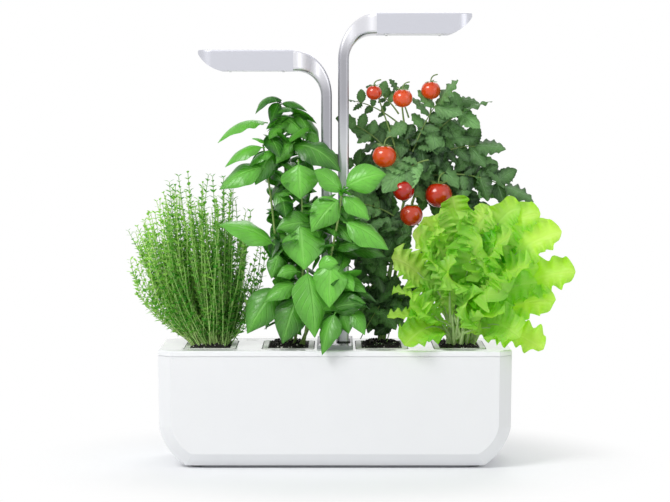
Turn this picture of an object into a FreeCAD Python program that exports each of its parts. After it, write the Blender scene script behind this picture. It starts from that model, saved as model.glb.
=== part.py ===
import FreeCAD
import Part
import math
import os

# A countertop hydroponic garden: a water tank, a lift-off lid with four wells, four
# planted cartridges and two lamps on sliding masts. Millimetres. +X is right, +Y is
# back, +Z is up, and the origin is the middle of the underside of the rubber base.

V = FreeCAD.Vector
UP = V(0, 0, 1)

# Base
body_width = 440.0
body_depth = 170.0
lid_top = 148.0
bevel = 16.0
draft = 1.7
tank_wall = 3.0
corner_cut_x = 33.0
corner_cut_z = 47.0
corner_bulge = 5.5
face_corner_cut_x = 26.0
face_corner_cut_z = 34.0
face_corner_bulge = 5.0
edge_round = 2.5
pad_height = 3.0
pad_margin_x = 37.0
pad_margin_y = 17.0
pad_corner = 28.0

# Lid
lid_edge = 7.0
lid_plate = 3.0
lid_edge_round = 2.5
lid_fit = 0.1
seam_gap = 0.8
seam_step = 1.2
skirt_wall = 2.0
skirt_drop = 10.0
skirt_clearance = 0.6

# Wells for the cartridges, in the lid
well_width = 66.0
well_corner = 5.0
well_front_margin = 20.0
well_back_margin = 38.0
inner_well_x = 58.5
outer_well_x = 156.0
well_frame_wall = 1.5
ledge_width = 4.0
ledge_thickness = 2.0
ledge_recess = 3.5

# Cradles, which hang in the wells
cradle_flange = 1.5
cradle_wall = 1.6
cradle_clearance = 0.4
cradle_depth = 82.0
cradle_taper = 3.5
cradle_window_width = 18.0
cradle_window_height = 34.0
cradle_window_y = 28.5
cradle_window_floor = 12.0
cradle_round = 4.0

# Cartridges
collar_gap = 1.2
collar_height = 2.6
tray_wall = 1.2
tray_clearance = 0.5
tray_depth = 76.0
tray_round = 3.0
soil_clearance = 0.15
soil_recess = 2.6
soil_crown = 5.0
soil_crown_slope = 9.0
soil_crown_round = 6.0
wick_width = 22.0
wick_thickness = 3.0
wick_hole_clearance = 0.8
wick_drop = 30.0

# Console between the inner wells
console_width = 45.0
console_front_margin = 20.0
console_back_margin = 15.0
console_height = 4.0
console_corner = 5.0
panel_inset = 2.0
panel_thickness = 1.4
panel_clearance = 0.1
console_opening_width = 40.5
console_opening_margin = 3.0
dry_well_width = 45.0
dry_well_front_margin = 39.0
dry_well_back_margin = 23.0
dry_well_floor_z = 12.0
dry_well_wall = 1.8

# Masts and their guides
mast_x = 10.7
mast_thickness = 13.5
mast_depth = 40.0
mast_round = 4.5
mast_wall = 1.5
slide_clearance = 0.3
bush_wall = 1.9
bush_height = 16.0
bush_above_console = 1.5
guide_room = 2.0
guide_wall = 0.9
guide_height = 118.0
guide_end_room = 4.0
guide_floor = 1.5
guide_round = 3.0
shoe_height = 12.0
shoe_lip = 2.0

# Lamps. Heights are those of the right lamp at rest, above the worktop.
lamp_top = 566.0
lamp_drop_left = 46.0
head_thickness = 26.0
head_depth = 90.0
neck_end_x = 52.0
neck_inner_radius = 32.0
neck_wall = 2.0
neck_flare_start = 14.0
head_reach = 171.5
belly_length = 28.0
belly_rise = 21.5
belly_bulge = 3.6
head_wall = 2.5
head_edge_round = 2.0
head_nose_round = 18.0
window_neck_margin = 10.0
window_nose_margin = 6.0
window_side_margin = 8.0
mast_foot_z = 99.0
diffuser_clearance = 0.4
diffuser_lip = 3.0
diffuser_lip_thickness = 1.2
led_board_thickness = 1.6
led_board_gap = 6.0
led_board_overlap = 1.0
led_leg_radius = 2.0
led_leg_inset = 3.0
led_margin = 8.0
led_size = 3.2
led_height = 1.0
led_columns = 6
led_rows = 5
heat_plate_thickness = 3.0
lamp_screw_radius = 1.6
lamp_screw_head = 0.6
lamp_screw_margin = 4.2
lamp_screw_inset = 8.0
cable_radius = 1.8
cable_way_radius = 3.0
cable_drop = 10.0
cable_bend_offset = 8.0
cable_reach = 6.0

# Light button
button_width = 15.0
button_depth = 8.0
button_front_margin = 33.0
button_stem = 5.0
button_stem_radius = 1.5
button_cap = 3.0
dome_radius = 4.5
dome_wall = 0.8
dome_tip = 0.7
dome_seat_thickness = 2.0
dome_seat_margin = 1.0
indicator_radius = 1.6
indicator_spacing = 10.0
button_proud = 0.6
button_clearance = 0.3

# Power inlet and circuit board, at the back
inlet_width = 30.0
inlet_height = 30.0
notch_clearance = 0.4
jack_radius = 4.2
jack_bore_radius = 2.75
jack_pin_radius = 1.0
jack_depth = 9.5
jack_flange = 1.5
inlet_setback = 0.4
inlet_recess = 12.0
board_width = 34.0
board_height = 60.0
board_thickness = 1.6
board_setback = 6.0
board_stand_inset = 3.5
# Chips and terminals: middle x, depth below the board's top, width, height, thickness
board_chips = (
    (-8.0, 18.0, 9.0, 9.0, 2.0),
    (8.0, 16.0, 6.0, 12.0, 3.0),
    (-6.0, 40.0, 14.0, 6.0, 4.0),
    (10.0, 42.0, 5.0, 5.0, 2.5),
)

# Filling flap, at the back of the lid
flap_x = -107.0
flap_width = 64.0
flap_depth = 25.5
flap_back_margin = 6.5
flap_thickness = 2.2
flap_clearance = 0.5
flap_pin_radius = 1.0
flap_barrel_radius = 2.0
flap_swing_room = 1.4
flap_frame_wall = 1.6
flap_step = 2.5
flap_barrel_drop = 0.3
flap_seat_gap = 0.1
nail_width = 16.0
nail_depth = 4.0
nail_sink = 0.8
nail_margin = 3.0
pin_clearance = 0.08

# Water float, at the back of the lid
float_x = 107.0
float_back_margin = 23.0
float_radius = 10.5
float_height = 20.0
float_stem_radius = 2.0
float_rise = 50.0
float_gap = 0.5
cage_clearance = 1.0
cage_wall = 1.4
cage_floor_gap = 9.0
cage_slot_width = 6.0
cage_slot_margin = 6.0
cage_slot_height = 74.0

# Plants. Their masses are written in plant_unit across and in shares of foliage_height up.
plant_sides = 12
plant_unit = 10.0
stem_height = 6.0
thin_stem = 2.0
middle_stem = 3.0
thick_stem = 4.0

# Heights and lines that follow from the sizes above
tank_top = lid_top - lid_edge
tank_bottom = pad_height
half_width = body_width / 2
half_depth = body_depth / 2
well_depth = body_depth - well_front_margin - well_back_margin
well_y = -half_depth + well_front_margin + well_depth / 2
ledge_top = lid_top - ledge_recess
collar_bottom = ledge_top + cradle_flange
soil_edge = collar_bottom + collar_height - soil_recess
soil_top = soil_edge + soil_crown
foliage_low = soil_top + stem_height
foliage_height = lamp_top - foliage_low
console_top = lid_top + console_height
console_front_y = -half_depth + console_front_margin
console_back_y = half_depth - console_back_margin
dry_well_front_y = -half_depth + dry_well_front_margin
dry_well_back_y = half_depth - dry_well_back_margin
button_y = -half_depth + button_front_margin
flap_back_y = half_depth - flap_back_margin
flap_front_y = flap_back_y - flap_depth
float_y = half_depth - float_back_margin
bush_top = console_top + bush_above_console
bush_bottom = bush_top - bush_height
guide_bottom = dry_well_floor_z + dry_well_wall
neck_start = lamp_top - head_thickness - neck_inner_radius
well_places = {
    "thyme": -outer_well_x,
    "basil": -inner_well_x,
    "tomato": inner_well_x,
    "lettuce": outer_well_x,
}


def rounded_wire(cx, cy, width, depth, radius, z):
    """A rounded rectangle lying flat at height z."""
    hx, hy = width / 2, depth / 2
    edges = []
    last = None
    first = None
    for turn in range(4):
        a = math.radians(90 * turn)
        sx = 1 if turn in (0, 3) else -1
        sy = 1 if turn in (0, 1) else -1
        mx, my = cx + sx * (hx - radius), cy + sy * (hy - radius)
        arc = [
            V(mx + radius * math.cos(a + b), my + radius * math.sin(a + b), z)
            for b in (0, math.pi / 4, math.pi / 2)
        ]
        if last is not None:
            edges.append(Part.LineSegment(last, arc[0]).toShape())
        else:
            first = arc[0]
        edges.append(Part.Arc(*arc).toShape())
        last = arc[2]
    edges.append(Part.LineSegment(last, first).toShape())
    return Part.Wire(edges)


def rounded_block(cx, cy, width, depth, radius, z0, z1):
    """A rounded rectangle raised from z0 to z1."""
    face = Part.Face(rounded_wire(cx, cy, width, depth, radius, z0))
    return face.extrude(UP * (z1 - z0))


def tapered_block(cx, cy, low, high):
    """A solid between two rounded rectangles, each (width, depth, radius, z)."""
    wires = [rounded_wire(cx, cy, w, d, r, z) for w, d, r, z in (low, high)]
    return Part.makeLoft(wires, True, True)


def block(x0, x1, y0, y1, z0, z1):
    return Part.makeBox(x1 - x0, y1 - y0, z1 - z0, V(x0, y0, z0))


def pin(radius, start, direction, length):
    return Part.makeCylinder(radius, length, start, direction)


def mirrored(shape):
    return shape.mirror(V(0, 0, 0), V(1, 0, 0))


def side_at(z, inset):
    """Half the body's width at height z, for an outline set in by inset."""
    return half_width - inset - draft * (lid_top - z) / (lid_top - tank_bottom)


def front_outline(y, inset, floor, top, cut_x, cut_z, bulge):
    """The body seen from the front at depth y: square above, with cut corners below."""
    corner_top = floor + cut_z
    side_top, side_low = side_at(top, inset), side_at(corner_top, inset)
    foot = side_low - cut_x
    long = math.hypot(cut_x, cut_z)
    middle = (
        (side_low + foot) / 2 + bulge * cut_z / long,
        (corner_top + floor) / 2 - bulge * cut_x / long,
    )
    a, b, c = V(side_top, y, top), V(side_low, y, corner_top), V(foot, y, floor)
    m = V(middle[0], y, middle[1])
    flip = [V(-p.x, p.y, p.z) for p in (a, b, c, m)]
    return Part.Wire(
        [
            Part.LineSegment(a, b).toShape(),
            Part.Arc(b, m, c).toShape(),
            Part.LineSegment(c, flip[2]).toShape(),
            Part.Arc(flip[2], flip[3], flip[1]).toShape(),
            Part.LineSegment(flip[1], flip[0]).toShape(),
            Part.LineSegment(flip[0], a).toShape(),
        ]
    )


def body_form(wall, top):
    """The bevelled body, set in by wall all round and open to any height top."""
    slope = wall * math.sqrt(2)
    face_inset = bevel - wall + slope
    share = wall / bevel
    wide_cut_x = corner_cut_x - (corner_cut_x - face_corner_cut_x) * share
    wide_cut_z = corner_cut_z - (corner_cut_z - face_corner_cut_z) * share
    wires = []
    for sign in (-1, 1):
        face = front_outline(
            sign * (half_depth - wall),
            face_inset,
            tank_bottom + face_inset,
            top,
            face_corner_cut_x,
            face_corner_cut_z,
            face_corner_bulge,
        )
        middle = front_outline(
            sign * (half_depth - face_inset),
            wall,
            tank_bottom + wall,
            top,
            wide_cut_x,
            wide_cut_z,
            corner_bulge,
        )
        wires += [face, middle] if sign < 0 else [middle, face]
    return Part.makeLoft(wires, True, True)


def seam_groove():
    """The step round the tank's rim that shows as a dark line under the lid."""
    low = tank_top - seam_gap
    band = block(-body_width, body_width, -body_depth, body_depth, low, tank_top + 1)
    return band.cut(lid_plan(seam_step, low, tank_top + 1))


def make_tank():
    outer = body_form(0, tank_top)
    soft = [
        e
        for e in outer.Edges
        if e.BoundBox.ZLength < 0.01
        and e.BoundBox.YLength < 0.01
        and e.BoundBox.ZMax < tank_top - 1
        and abs(abs(e.BoundBox.YMin) - half_depth) < 0.01
    ]
    hollow = body_form(tank_wall, tank_top + 10)
    shell = outer.makeFillet(edge_round, soft).cut(hollow)
    notch = block(
        -inlet_width / 2 - notch_clearance,
        inlet_width / 2 + notch_clearance,
        half_depth - 3 * tank_wall,
        half_depth + 1,
        tank_top - inlet_height - notch_clearance,
        tank_top + 1,
    )
    return shell.cut([notch, seam_groove()])


def make_pad():
    width, depth = body_width - 2 * pad_margin_x, body_depth - 2 * pad_margin_y
    return rounded_block(0, 0, width, depth, pad_corner, 0, pad_height)


def lid_plan(inset, z0, z1):
    """The lid's plan, a rectangle with its corners cut at 45 degrees."""
    x, y = side_at(z0, inset), half_depth - inset
    cut = bevel - inset * (2 - math.sqrt(2))
    points = []
    for sx, sy in ((1, 1), (-1, 1), (-1, -1), (1, -1)):
        side = V(sx * x, sy * (y - cut), z0)
        end = V(sx * (x - cut), sy * y, z0)
        points += [side, end] if sx * sy > 0 else [end, side]
    face = Part.Face(Part.makePolygon(points + points[:1]))
    return face.extrude(UP * (z1 - z0))


def well_cut(cx):
    """What a well takes out of the lid: the seat above and the way through."""
    seat = rounded_block(
        cx, well_y, well_width, well_depth, well_corner, ledge_top, lid_top + 1
    )
    through = rounded_block(
        cx,
        well_y,
        well_width - 2 * ledge_width,
        well_depth - 2 * ledge_width,
        well_corner - 1,
        lid_top - lid_edge - 20,
        lid_top,
    )
    return seat.fuse(through)


def well_frame(cx):
    return rounded_block(
        cx,
        well_y,
        well_width + 2 * well_frame_wall,
        well_depth + 2 * well_frame_wall,
        well_corner + well_frame_wall,
        ledge_top - ledge_thickness,
        lid_top - lid_plate + lid_fit,
    )


def flap_frame():
    return block(
        flap_x - flap_width / 2 - flap_clearance - flap_frame_wall,
        flap_x + flap_width / 2 + flap_clearance + flap_frame_wall,
        flap_front_y - flap_clearance - flap_frame_wall,
        flap_back_y + flap_swing_room + flap_frame_wall,
        lid_top - lid_edge,
        lid_top - lid_plate + lid_fit,
    )


def flap_axis():
    """A point on the flap's hinge line, at its left end."""
    return V(
        flap_x - flap_width / 2,
        flap_back_y - flap_barrel_radius,
        lid_top - flap_thickness - flap_barrel_drop,
    )


def flap_cut():
    """The filling mouth, with a step in front for the flap to rest on."""
    x0 = flap_x - flap_width / 2 - flap_clearance
    x1 = flap_x + flap_width / 2 + flap_clearance
    y0 = flap_front_y - flap_clearance
    y1 = flap_back_y + flap_swing_room
    seat = block(x0, x1, y0, y1, lid_top - flap_thickness, lid_top + 1)
    mouth = block(x0, x1, y0 + flap_step, y1, lid_top - lid_edge - 5, lid_top)
    axis = flap_axis()
    reach = flap_clearance + flap_frame_wall + 1
    hole = pin(
        flap_pin_radius + pin_clearance,
        axis - V(reach, 0, 0),
        V(1, 0, 0),
        flap_width + 2 * reach,
    )
    return seat.fuse([mouth, hole])


def make_lid():
    plate = lid_plan(0, lid_top - lid_edge, lid_top)
    rim = [e for e in plate.Edges if e.BoundBox.ZMin > lid_top - 0.01]
    plate = plate.makeFillet(lid_edge_round, rim)
    under = lid_plan(tank_wall, lid_top - lid_edge - 1, lid_top - lid_plate)
    inset = tank_wall + skirt_clearance
    low = lid_top - lid_edge - skirt_drop
    skirt = lid_plan(inset, low, lid_top - lid_plate + lid_fit)
    skirt = skirt.cut(lid_plan(inset + skirt_wall, low - 1, lid_top))
    frames = [well_frame(x) for x in well_places.values()]
    lid = plate.cut(under).fuse([skirt, flap_frame()] + frames)
    cuts = [well_cut(x) for x in well_places.values()]
    console_hole = rounded_block(
        0,
        (dry_well_front_y + dry_well_back_y) / 2,
        console_opening_width,
        dry_well_back_y - dry_well_front_y - 2 * console_opening_margin,
        console_opening_margin,
        low,
        lid_top + 1,
    )
    rise = console_top - low
    level_hole = pin(float_stem_radius + slide_clearance, V(float_x, float_y, low), UP, rise)
    stem_hole = pin(button_stem_radius + slide_clearance, V(0, button_y, low), UP, rise)
    back = block(
        -inlet_width / 2 - notch_clearance,
        inlet_width / 2 + notch_clearance,
        half_depth - inlet_recess,
        half_depth - tank_wall + lid_fit,
        low - 1,
        lid_top - lid_plate,
    )
    return lid.cut(cuts + [flap_cut(), console_hole, level_hole, stem_hole, back]).removeSplitter()


def make_dry_well():
    """The sealed box that hangs in the tank and keeps the masts and wiring dry."""
    top = lid_top - lid_plate
    outer = block(
        -dry_well_width / 2,
        dry_well_width / 2,
        dry_well_front_y,
        dry_well_back_y,
        dry_well_floor_z,
        top,
    )
    inner = block(
        -dry_well_width / 2 + dry_well_wall,
        dry_well_width / 2 - dry_well_wall,
        dry_well_front_y + dry_well_wall,
        dry_well_back_y - dry_well_wall,
        guide_bottom,
        top + 1,
    )
    snout_low = tank_top - inlet_height
    snout = block(
        -inlet_width / 2,
        inlet_width / 2,
        dry_well_back_y - dry_well_wall,
        half_depth - inlet_setback,
        snout_low,
        top,
    )
    snout_room = block(
        -inlet_width / 2 + dry_well_wall,
        inlet_width / 2 - dry_well_wall,
        dry_well_back_y - dry_well_wall - 1,
        half_depth - inlet_setback - dry_well_wall,
        snout_low + dry_well_wall,
        top + 1,
    )
    jack_hole = pin(
        jack_radius,
        V(0, half_depth - 5, (snout_low + tank_top) / 2),
        V(0, 1, 0),
        10,
    )
    rim = half_depth - tank_wall - lid_fit
    step = block(-inlet_width, inlet_width, rim, half_depth + 1, tank_top, top + 1)
    return outer.fuse(snout).cut([inner, snout_room, jack_hole, step]).removeSplitter()


def make_jack():
    z = (tank_top - inlet_height + tank_top) / 2
    back = half_depth - inlet_setback
    start = V(0, back - jack_depth - jack_flange, z)
    body = pin(jack_radius, start, V(0, 1, 0), jack_depth + jack_flange)
    seat = V(0, back - dry_well_wall - jack_flange, z)
    flange = pin(jack_radius + jack_flange, seat, V(0, 1, 0), jack_flange)
    bore = pin(jack_bore_radius, V(0, back - jack_depth, z), V(0, 1, 0), jack_depth + 1)
    contact = pin(
        jack_pin_radius, V(0, back - jack_depth - 1, z), V(0, 1, 0), jack_depth - 1
    )
    return body.fuse(flange).cut(bore).fuse(contact)


def make_board():
    """The circuit board, standing behind the mast guide, with its chips and terminals."""
    y = dry_well_back_y - dry_well_wall - board_setback
    top = tank_top - inlet_height - board_setback
    board = block(
        -board_width / 2,
        board_width / 2,
        y,
        y + board_thickness,
        top - board_height,
        top,
    )
    parts = [board]
    for x, drop, w, h, t in board_chips:
        z = top - drop
        parts.append(block(x - w / 2, x + w / 2, y - t, y, z - h / 2, z + h / 2))
    length = board_setback - board_thickness
    reach = board_width / 2 - board_stand_inset
    for x in (-reach, reach):
        for z in (top - board_stand_inset, top - board_height + board_stand_inset):
            start = V(x, y + board_thickness, z)
            parts.append(pin(board_thickness, start, V(0, 1, 0), length))
    return parts[0].fuse(parts[1:])


def make_guide():
    """The block inside the dry well with a channel for each mast's foot."""
    half = mast_x + mast_thickness / 2 + guide_room + guide_wall
    depth = mast_depth + 2 * guide_room + 2 * guide_wall + guide_end_room
    top = guide_bottom + guide_height
    outer = rounded_block(0, 0, 2 * half, depth, guide_round, guide_bottom, top)
    cuts = []
    for sign in (-1, 1):
        cuts.append(
            rounded_block(
                sign * mast_x,
                0,
                mast_thickness + 2 * guide_room,
                mast_depth + 2 * guide_room,
                mast_round + guide_room,
                guide_bottom + guide_floor,
                top + 1,
            )
        )
    return outer.cut(cuts)


def mast_form(grow, z0, z1, x=mast_x):
    """A mast's section, grown by a clearance or wall, from z0 to z1."""
    return rounded_block(
        x,
        0,
        mast_thickness + 2 * grow,
        mast_depth + 2 * grow,
        mast_round + grow,
        z0,
        z1,
    )


def make_bush():
    grow = slide_clearance + bush_wall
    ring = mast_form(grow, bush_bottom, bush_top)
    return ring.cut(mast_form(slide_clearance, bush_bottom - 1, bush_top + 1))


def make_console():
    """The raised grey frame round the control panel, with a hole for each bush."""
    y = (console_front_y + console_back_y) / 2
    depth = console_back_y - console_front_y
    frame = rounded_block(
        0, y, console_width, depth, console_corner, lid_top, console_top
    )
    seat = rounded_block(
        0,
        y,
        console_width - 2 * panel_inset,
        depth - 2 * panel_inset,
        console_corner - panel_inset,
        console_top - panel_thickness,
        console_top + 1,
    )
    room = rounded_block(
        0,
        y,
        console_width - 4 * panel_inset,
        depth - 4 * panel_inset,
        console_corner - 2 * panel_inset,
        lid_top - 1,
        console_top - panel_thickness - 1,
    )
    cuts = [seat, room, button_hole(lid_top - 1)]
    for sign in (-1, 1):
        cuts.append(
            mast_form(slide_clearance + bush_wall, lid_top, console_top + 1, sign * mast_x)
        )
    return frame.cut(cuts)


def button_hole(z0):
    return rounded_block(
        0,
        button_y,
        button_width + 2 * button_clearance,
        button_depth + 2 * button_clearance,
        button_depth / 2 + button_clearance - 0.05,
        z0,
        console_top + 1,
    )


def make_panel():
    y = (console_front_y + console_back_y) / 2
    depth = console_back_y - console_front_y
    panel = rounded_block(
        0,
        y,
        console_width - 2 * (panel_inset + panel_clearance),
        depth - 2 * (panel_inset + panel_clearance),
        console_corner - panel_inset - panel_clearance,
        console_top - panel_thickness,
        console_top,
    )
    cuts = [button_hole(lid_top), indicator_hole(panel_clearance)]
    for sign in (-1, 1):
        cuts.append(
            mast_form(slide_clearance + bush_wall, lid_top, console_top + 1, sign * mast_x)
        )
    return panel.cut(cuts)


def indicator_hole(grow):
    centre = V(0, button_y + indicator_spacing, lid_top)
    return pin(indicator_radius + grow, centre, UP, console_height + 1)


def make_indicator():
    low = V(0, button_y + indicator_spacing, console_top - panel_thickness)
    return pin(indicator_radius, low, UP, panel_thickness)


def button_foot():
    """The height of the stem's lower end, where the rubber dome meets it."""
    return console_top + button_proud - button_cap - button_stem


def make_button():
    """The light button: a cap on a stem that presses a rubber dome."""
    cap_low = console_top + button_proud - button_cap
    cap = rounded_block(
        0,
        button_y,
        button_width,
        button_depth,
        button_depth / 2 - 0.05,
        cap_low,
        console_top + button_proud,
    )
    stem = pin(button_stem_radius, V(0, button_y, button_foot()), UP, button_stem)
    return cap.fuse(stem)


def make_button_dome():
    """The rubber dome that lifts the button again."""
    low, top = lid_top - lid_edge + 1, button_foot()
    tip = button_stem_radius + dome_tip
    height = top - low
    outer = Part.makeCone(dome_radius, tip, height, V(0, button_y, low))
    inner = Part.makeCone(
        dome_radius - dome_wall, tip - dome_wall, height - dome_wall, V(0, button_y, low)
    )
    return outer.cut(inner)


def make_button_seat():
    """The bracket under the lid that carries the dome, screwed to the dry well."""
    top = lid_top - lid_edge + 1
    half = dry_well_width / 2
    front = button_y - dome_radius - dome_seat_margin
    low = top - dome_seat_thickness
    plate = block(-half, half, front, dry_well_front_y, low, top)
    post = block(-half, half, front - dome_seat_thickness, front, low, lid_top - lid_plate)
    return plate.fuse(post)


def make_cradle(cx):
    """A basket that hangs on the well's ledge, with windows and a slot for the wick."""
    top = ledge_top + cradle_flange
    w = well_width - 2 * ledge_width - 2 * cradle_clearance
    d = well_depth - 2 * ledge_width - 2 * cradle_clearance
    low_w, low_d = w - 2 * cradle_taper, d - 2 * cradle_taper
    bottom = top - cradle_depth
    outer = tapered_block(cx, well_y, (low_w, low_d, cradle_round, bottom), (w, d, cradle_round, top))
    t = 2 * cradle_wall
    inner = tapered_block(
        cx,
        well_y,
        (low_w - t, low_d - t, cradle_round - cradle_wall, bottom + cradle_wall),
        (w - t, d - t, cradle_round - cradle_wall, top),
    )
    flange = rounded_block(
        cx,
        well_y,
        well_width - 2 * cradle_clearance,
        well_depth - 2 * cradle_clearance,
        well_corner - cradle_clearance,
        ledge_top,
        top,
    )
    windows = []
    mid = bottom + cradle_window_floor + cradle_window_height / 2
    for side in (-cradle_window_y, cradle_window_y):
        windows.append(
            block(
                cx - w,
                cx + w,
                well_y + side - cradle_window_width / 2,
                well_y + side + cradle_window_width / 2,
                mid - cradle_window_height / 2,
                mid + cradle_window_height / 2,
            )
        )
    windows.append(
        block(
            cx - cradle_window_width / 2,
            cx + cradle_window_width / 2,
            well_y - d,
            well_y + d,
            mid - cradle_window_height / 2,
            mid + cradle_window_height / 2,
        )
    )
    slot = wick_form(cx, 1.5 * wick_hole_clearance, bottom - 1, bottom + 2 * cradle_wall)
    return outer.fuse(flange).cut([inner] + windows + [slot])


def wick_form(cx, grow, z0, z1):
    return block(
        cx - wick_width / 2 - grow,
        cx + wick_width / 2 + grow,
        well_y - wick_thickness / 2 - grow,
        well_y + wick_thickness / 2 + grow,
        z0,
        z1,
    )


def tray_sizes():
    """The tray's outer width and depth at the collar and at its floor."""
    w = well_width - 2 * ledge_width - 2 * cradle_clearance - 2 * cradle_wall
    d = well_depth - 2 * ledge_width - 2 * cradle_clearance - 2 * cradle_wall
    shrink = 2 * tray_clearance
    taper = 2 * cradle_taper * tray_depth / (cradle_depth - cradle_wall)
    return (w - shrink, d - shrink), (w - shrink - taper, d - shrink - taper)


def make_tray(cx):
    """A cartridge's pot of moulded fibre, with the pale collar that shows round the soil."""
    (w, d), (low_w, low_d) = tray_sizes()
    top = collar_bottom
    bottom = top - tray_depth
    outer = tapered_block(cx, well_y, (low_w, low_d, tray_round, bottom), (w, d, tray_round, top))
    t = 2 * tray_wall
    inner = tapered_block(
        cx,
        well_y,
        (low_w - t, low_d - t, tray_round - tray_wall, bottom + tray_wall),
        (w - t, d - t, tray_round - tray_wall, top),
    )
    collar = rounded_block(
        cx,
        well_y,
        well_width - 2 * collar_gap,
        well_depth - 2 * collar_gap,
        well_corner - collar_gap,
        top,
        top + collar_height,
    )
    window = rounded_block(
        cx, well_y, w - t, d - t, tray_round - tray_wall, top, top + collar_height + 1
    )
    slot = wick_form(cx, wick_hole_clearance, bottom - 1, bottom + tray_wall + 0.5)
    return outer.fuse(collar).cut([inner, window, slot])


def make_soil(cx):
    (w, d), (low_w, low_d) = tray_sizes()
    t = 2 * tray_wall + 2 * soil_clearance
    bottom = collar_bottom - tray_depth + tray_wall
    share = tray_wall / tray_depth
    inner_round = tray_round - tray_wall
    low_w, low_d = low_w + (w - low_w) * share, low_d + (d - low_d) * share
    fill = tapered_block(
        cx,
        well_y,
        (low_w - t, low_d - t, inner_round, bottom),
        (w - t, d - t, inner_round, collar_bottom),
    )
    slope = 2 * soil_crown_slope
    crown = tapered_block(
        cx,
        well_y,
        (w - t, d - t, inner_round, collar_bottom),
        (w - t - slope, d - t - slope, soil_crown_round, soil_top),
    )
    return fill.fuse(crown)


def make_wick(cx):
    bottom = collar_bottom - tray_depth + tray_wall
    return wick_form(cx, 0, bottom - tray_wall - wick_drop, bottom)


def neck_profile(wall):
    """The neck from the side: two bends, the outer one an ellipse, from mast to head."""
    inner_x = mast_x + mast_thickness / 2 - wall
    outer_x = mast_x - mast_thickness / 2 + wall
    low, top = lamp_top - head_thickness + wall, lamp_top - wall
    inside = neck_inner_radius + wall
    y = -head_depth / 2 - 1
    centre = V(neck_end_x, y, neck_start)
    reach, rise = neck_end_x - outer_x, top - neck_start
    corner = V(inner_x + inside, y, neck_start)
    points = {
        "foot_out": V(outer_x, y, neck_start),
        "end_top": V(neck_end_x, y, top),
        "end_low": V(neck_end_x, y, low),
        "bend_end": V(inner_x + inside, y, low),
        "foot_in": V(inner_x, y, neck_start),
    }
    half = math.sqrt(0.5)
    turn = V(corner.x - inside * half, y, corner.z + inside * half)
    ellipse = Part.Ellipse(V(neck_end_x, y, neck_start + rise), V(outer_x, y, neck_start), centre)
    bend = Part.ArcOfEllipse(ellipse, 0, math.pi / 2).toShape()
    edges = [
        bend,
        Part.LineSegment(points["end_top"], points["end_low"]).toShape(),
        Part.LineSegment(points["end_low"], points["bend_end"]).toShape(),
        Part.Arc(points["bend_end"], turn, points["foot_in"]).toShape(),
        Part.LineSegment(points["foot_in"], points["foot_out"]).toShape(),
    ]
    face = Part.Face(Part.Wire(Part.__sortEdges__(edges)))
    return face.extrude(V(0, head_depth + 2, 0))


def neck_plan(wall):
    """The neck from above: the mast's depth, which flares to the head's."""
    z = neck_start - 1
    narrow, wide = mast_depth / 2 - wall, head_depth / 2 - wall
    middle = (neck_flare_start + neck_end_x) / 2
    edges = []
    for side in (-1, 1):
        curve = Part.BezierCurve()
        curve.setPoles(
            [
                V(neck_flare_start, side * narrow, z),
                V(middle, side * narrow, z),
                V(middle, side * wide, z),
                V(neck_end_x, side * wide, z),
            ]
        )
        start = V(0, side * narrow, z)
        edges.append(curve.toShape())
        edges.append(Part.LineSegment(start, curve.StartPoint).toShape())
    edges.append(Part.LineSegment(V(0, -narrow, z), V(0, narrow, z)).toShape())
    ends = [V(neck_end_x, -wide, z), V(neck_end_x, wide, z)]
    edges.append(Part.LineSegment(*ends).toShape())
    face = Part.Face(Part.Wire(Part.__sortEdges__(edges)))
    return face.extrude(UP * (lamp_top - neck_start + 2))


def make_neck():
    """The swan neck: it carries the head and swells from the mast's oval to the head."""
    form = neck_profile(0).common(neck_plan(0))
    long_edges = [
        e
        for e in form.Edges
        if e.BoundBox.XLength + e.BoundBox.ZLength > 1 and e.BoundBox.ZMax > neck_start + 1
        and not (e.BoundBox.XLength < 0.01 and e.BoundBox.XMin > neck_end_x - 0.01)
    ]
    form = form.makeFillet(mast_round, long_edges)
    hollow = neck_profile(neck_wall).common(neck_plan(neck_wall))
    return form.cut(hollow)


def make_mast():
    tube = mast_form(0, mast_foot_z, neck_start)
    return tube.cut(mast_form(-mast_wall, mast_foot_z - 1, neck_start + 1))


def make_shoe():
    """The sliding foot: a sleeve round the mast's end that rides in the guide."""
    low = mast_foot_z - shoe_lip
    block_form = mast_form(guide_room - slide_clearance, low, low + shoe_height)
    socket = mast_form(0, mast_foot_z, low + shoe_height + 1)
    way = mast_form(-2 * mast_wall, low - 1, mast_foot_z + 1)
    return block_form.cut([socket, way])


def head_profile(wall):
    """The head from the side: flat on top, with a belly that sweeps up to the nose."""
    y = -head_depth / 2 + wall
    top, low = lamp_top - wall, lamp_top - head_thickness + wall
    foot = V(head_reach - belly_length - wall / 2, y, low)
    nose = V(head_reach - wall, y, low + belly_rise - wall * 1.5)
    chord = nose - foot
    bulge = V(chord.z, 0, -chord.x).normalize() * belly_bulge
    middle = (foot + nose) * 0.5 + bulge
    corners = [V(neck_end_x, y, low), V(neck_end_x, y, top), V(nose.x, y, top)]
    edges = [
        Part.Arc(foot, middle, nose).toShape(),
        Part.LineSegment(nose, corners[2]).toShape(),
        Part.LineSegment(corners[2], corners[1]).toShape(),
        Part.LineSegment(corners[1], corners[0]).toShape(),
        Part.LineSegment(corners[0], foot).toShape(),
    ]
    face = Part.Face(Part.Wire(edges))
    return face.extrude(V(0, head_depth - 2 * wall, 0))


def nose_plan(wall):
    """The head from above: a long rectangle with a rounded nose."""
    back = neck_end_x - head_depth / 2
    front = head_reach - wall
    width = front - back
    return rounded_block(
        (front + back) / 2,
        0,
        width,
        head_depth - 2 * wall + 0.02,
        head_nose_round - wall,
        lamp_top - head_thickness - 1,
        lamp_top + 1,
    )


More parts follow.
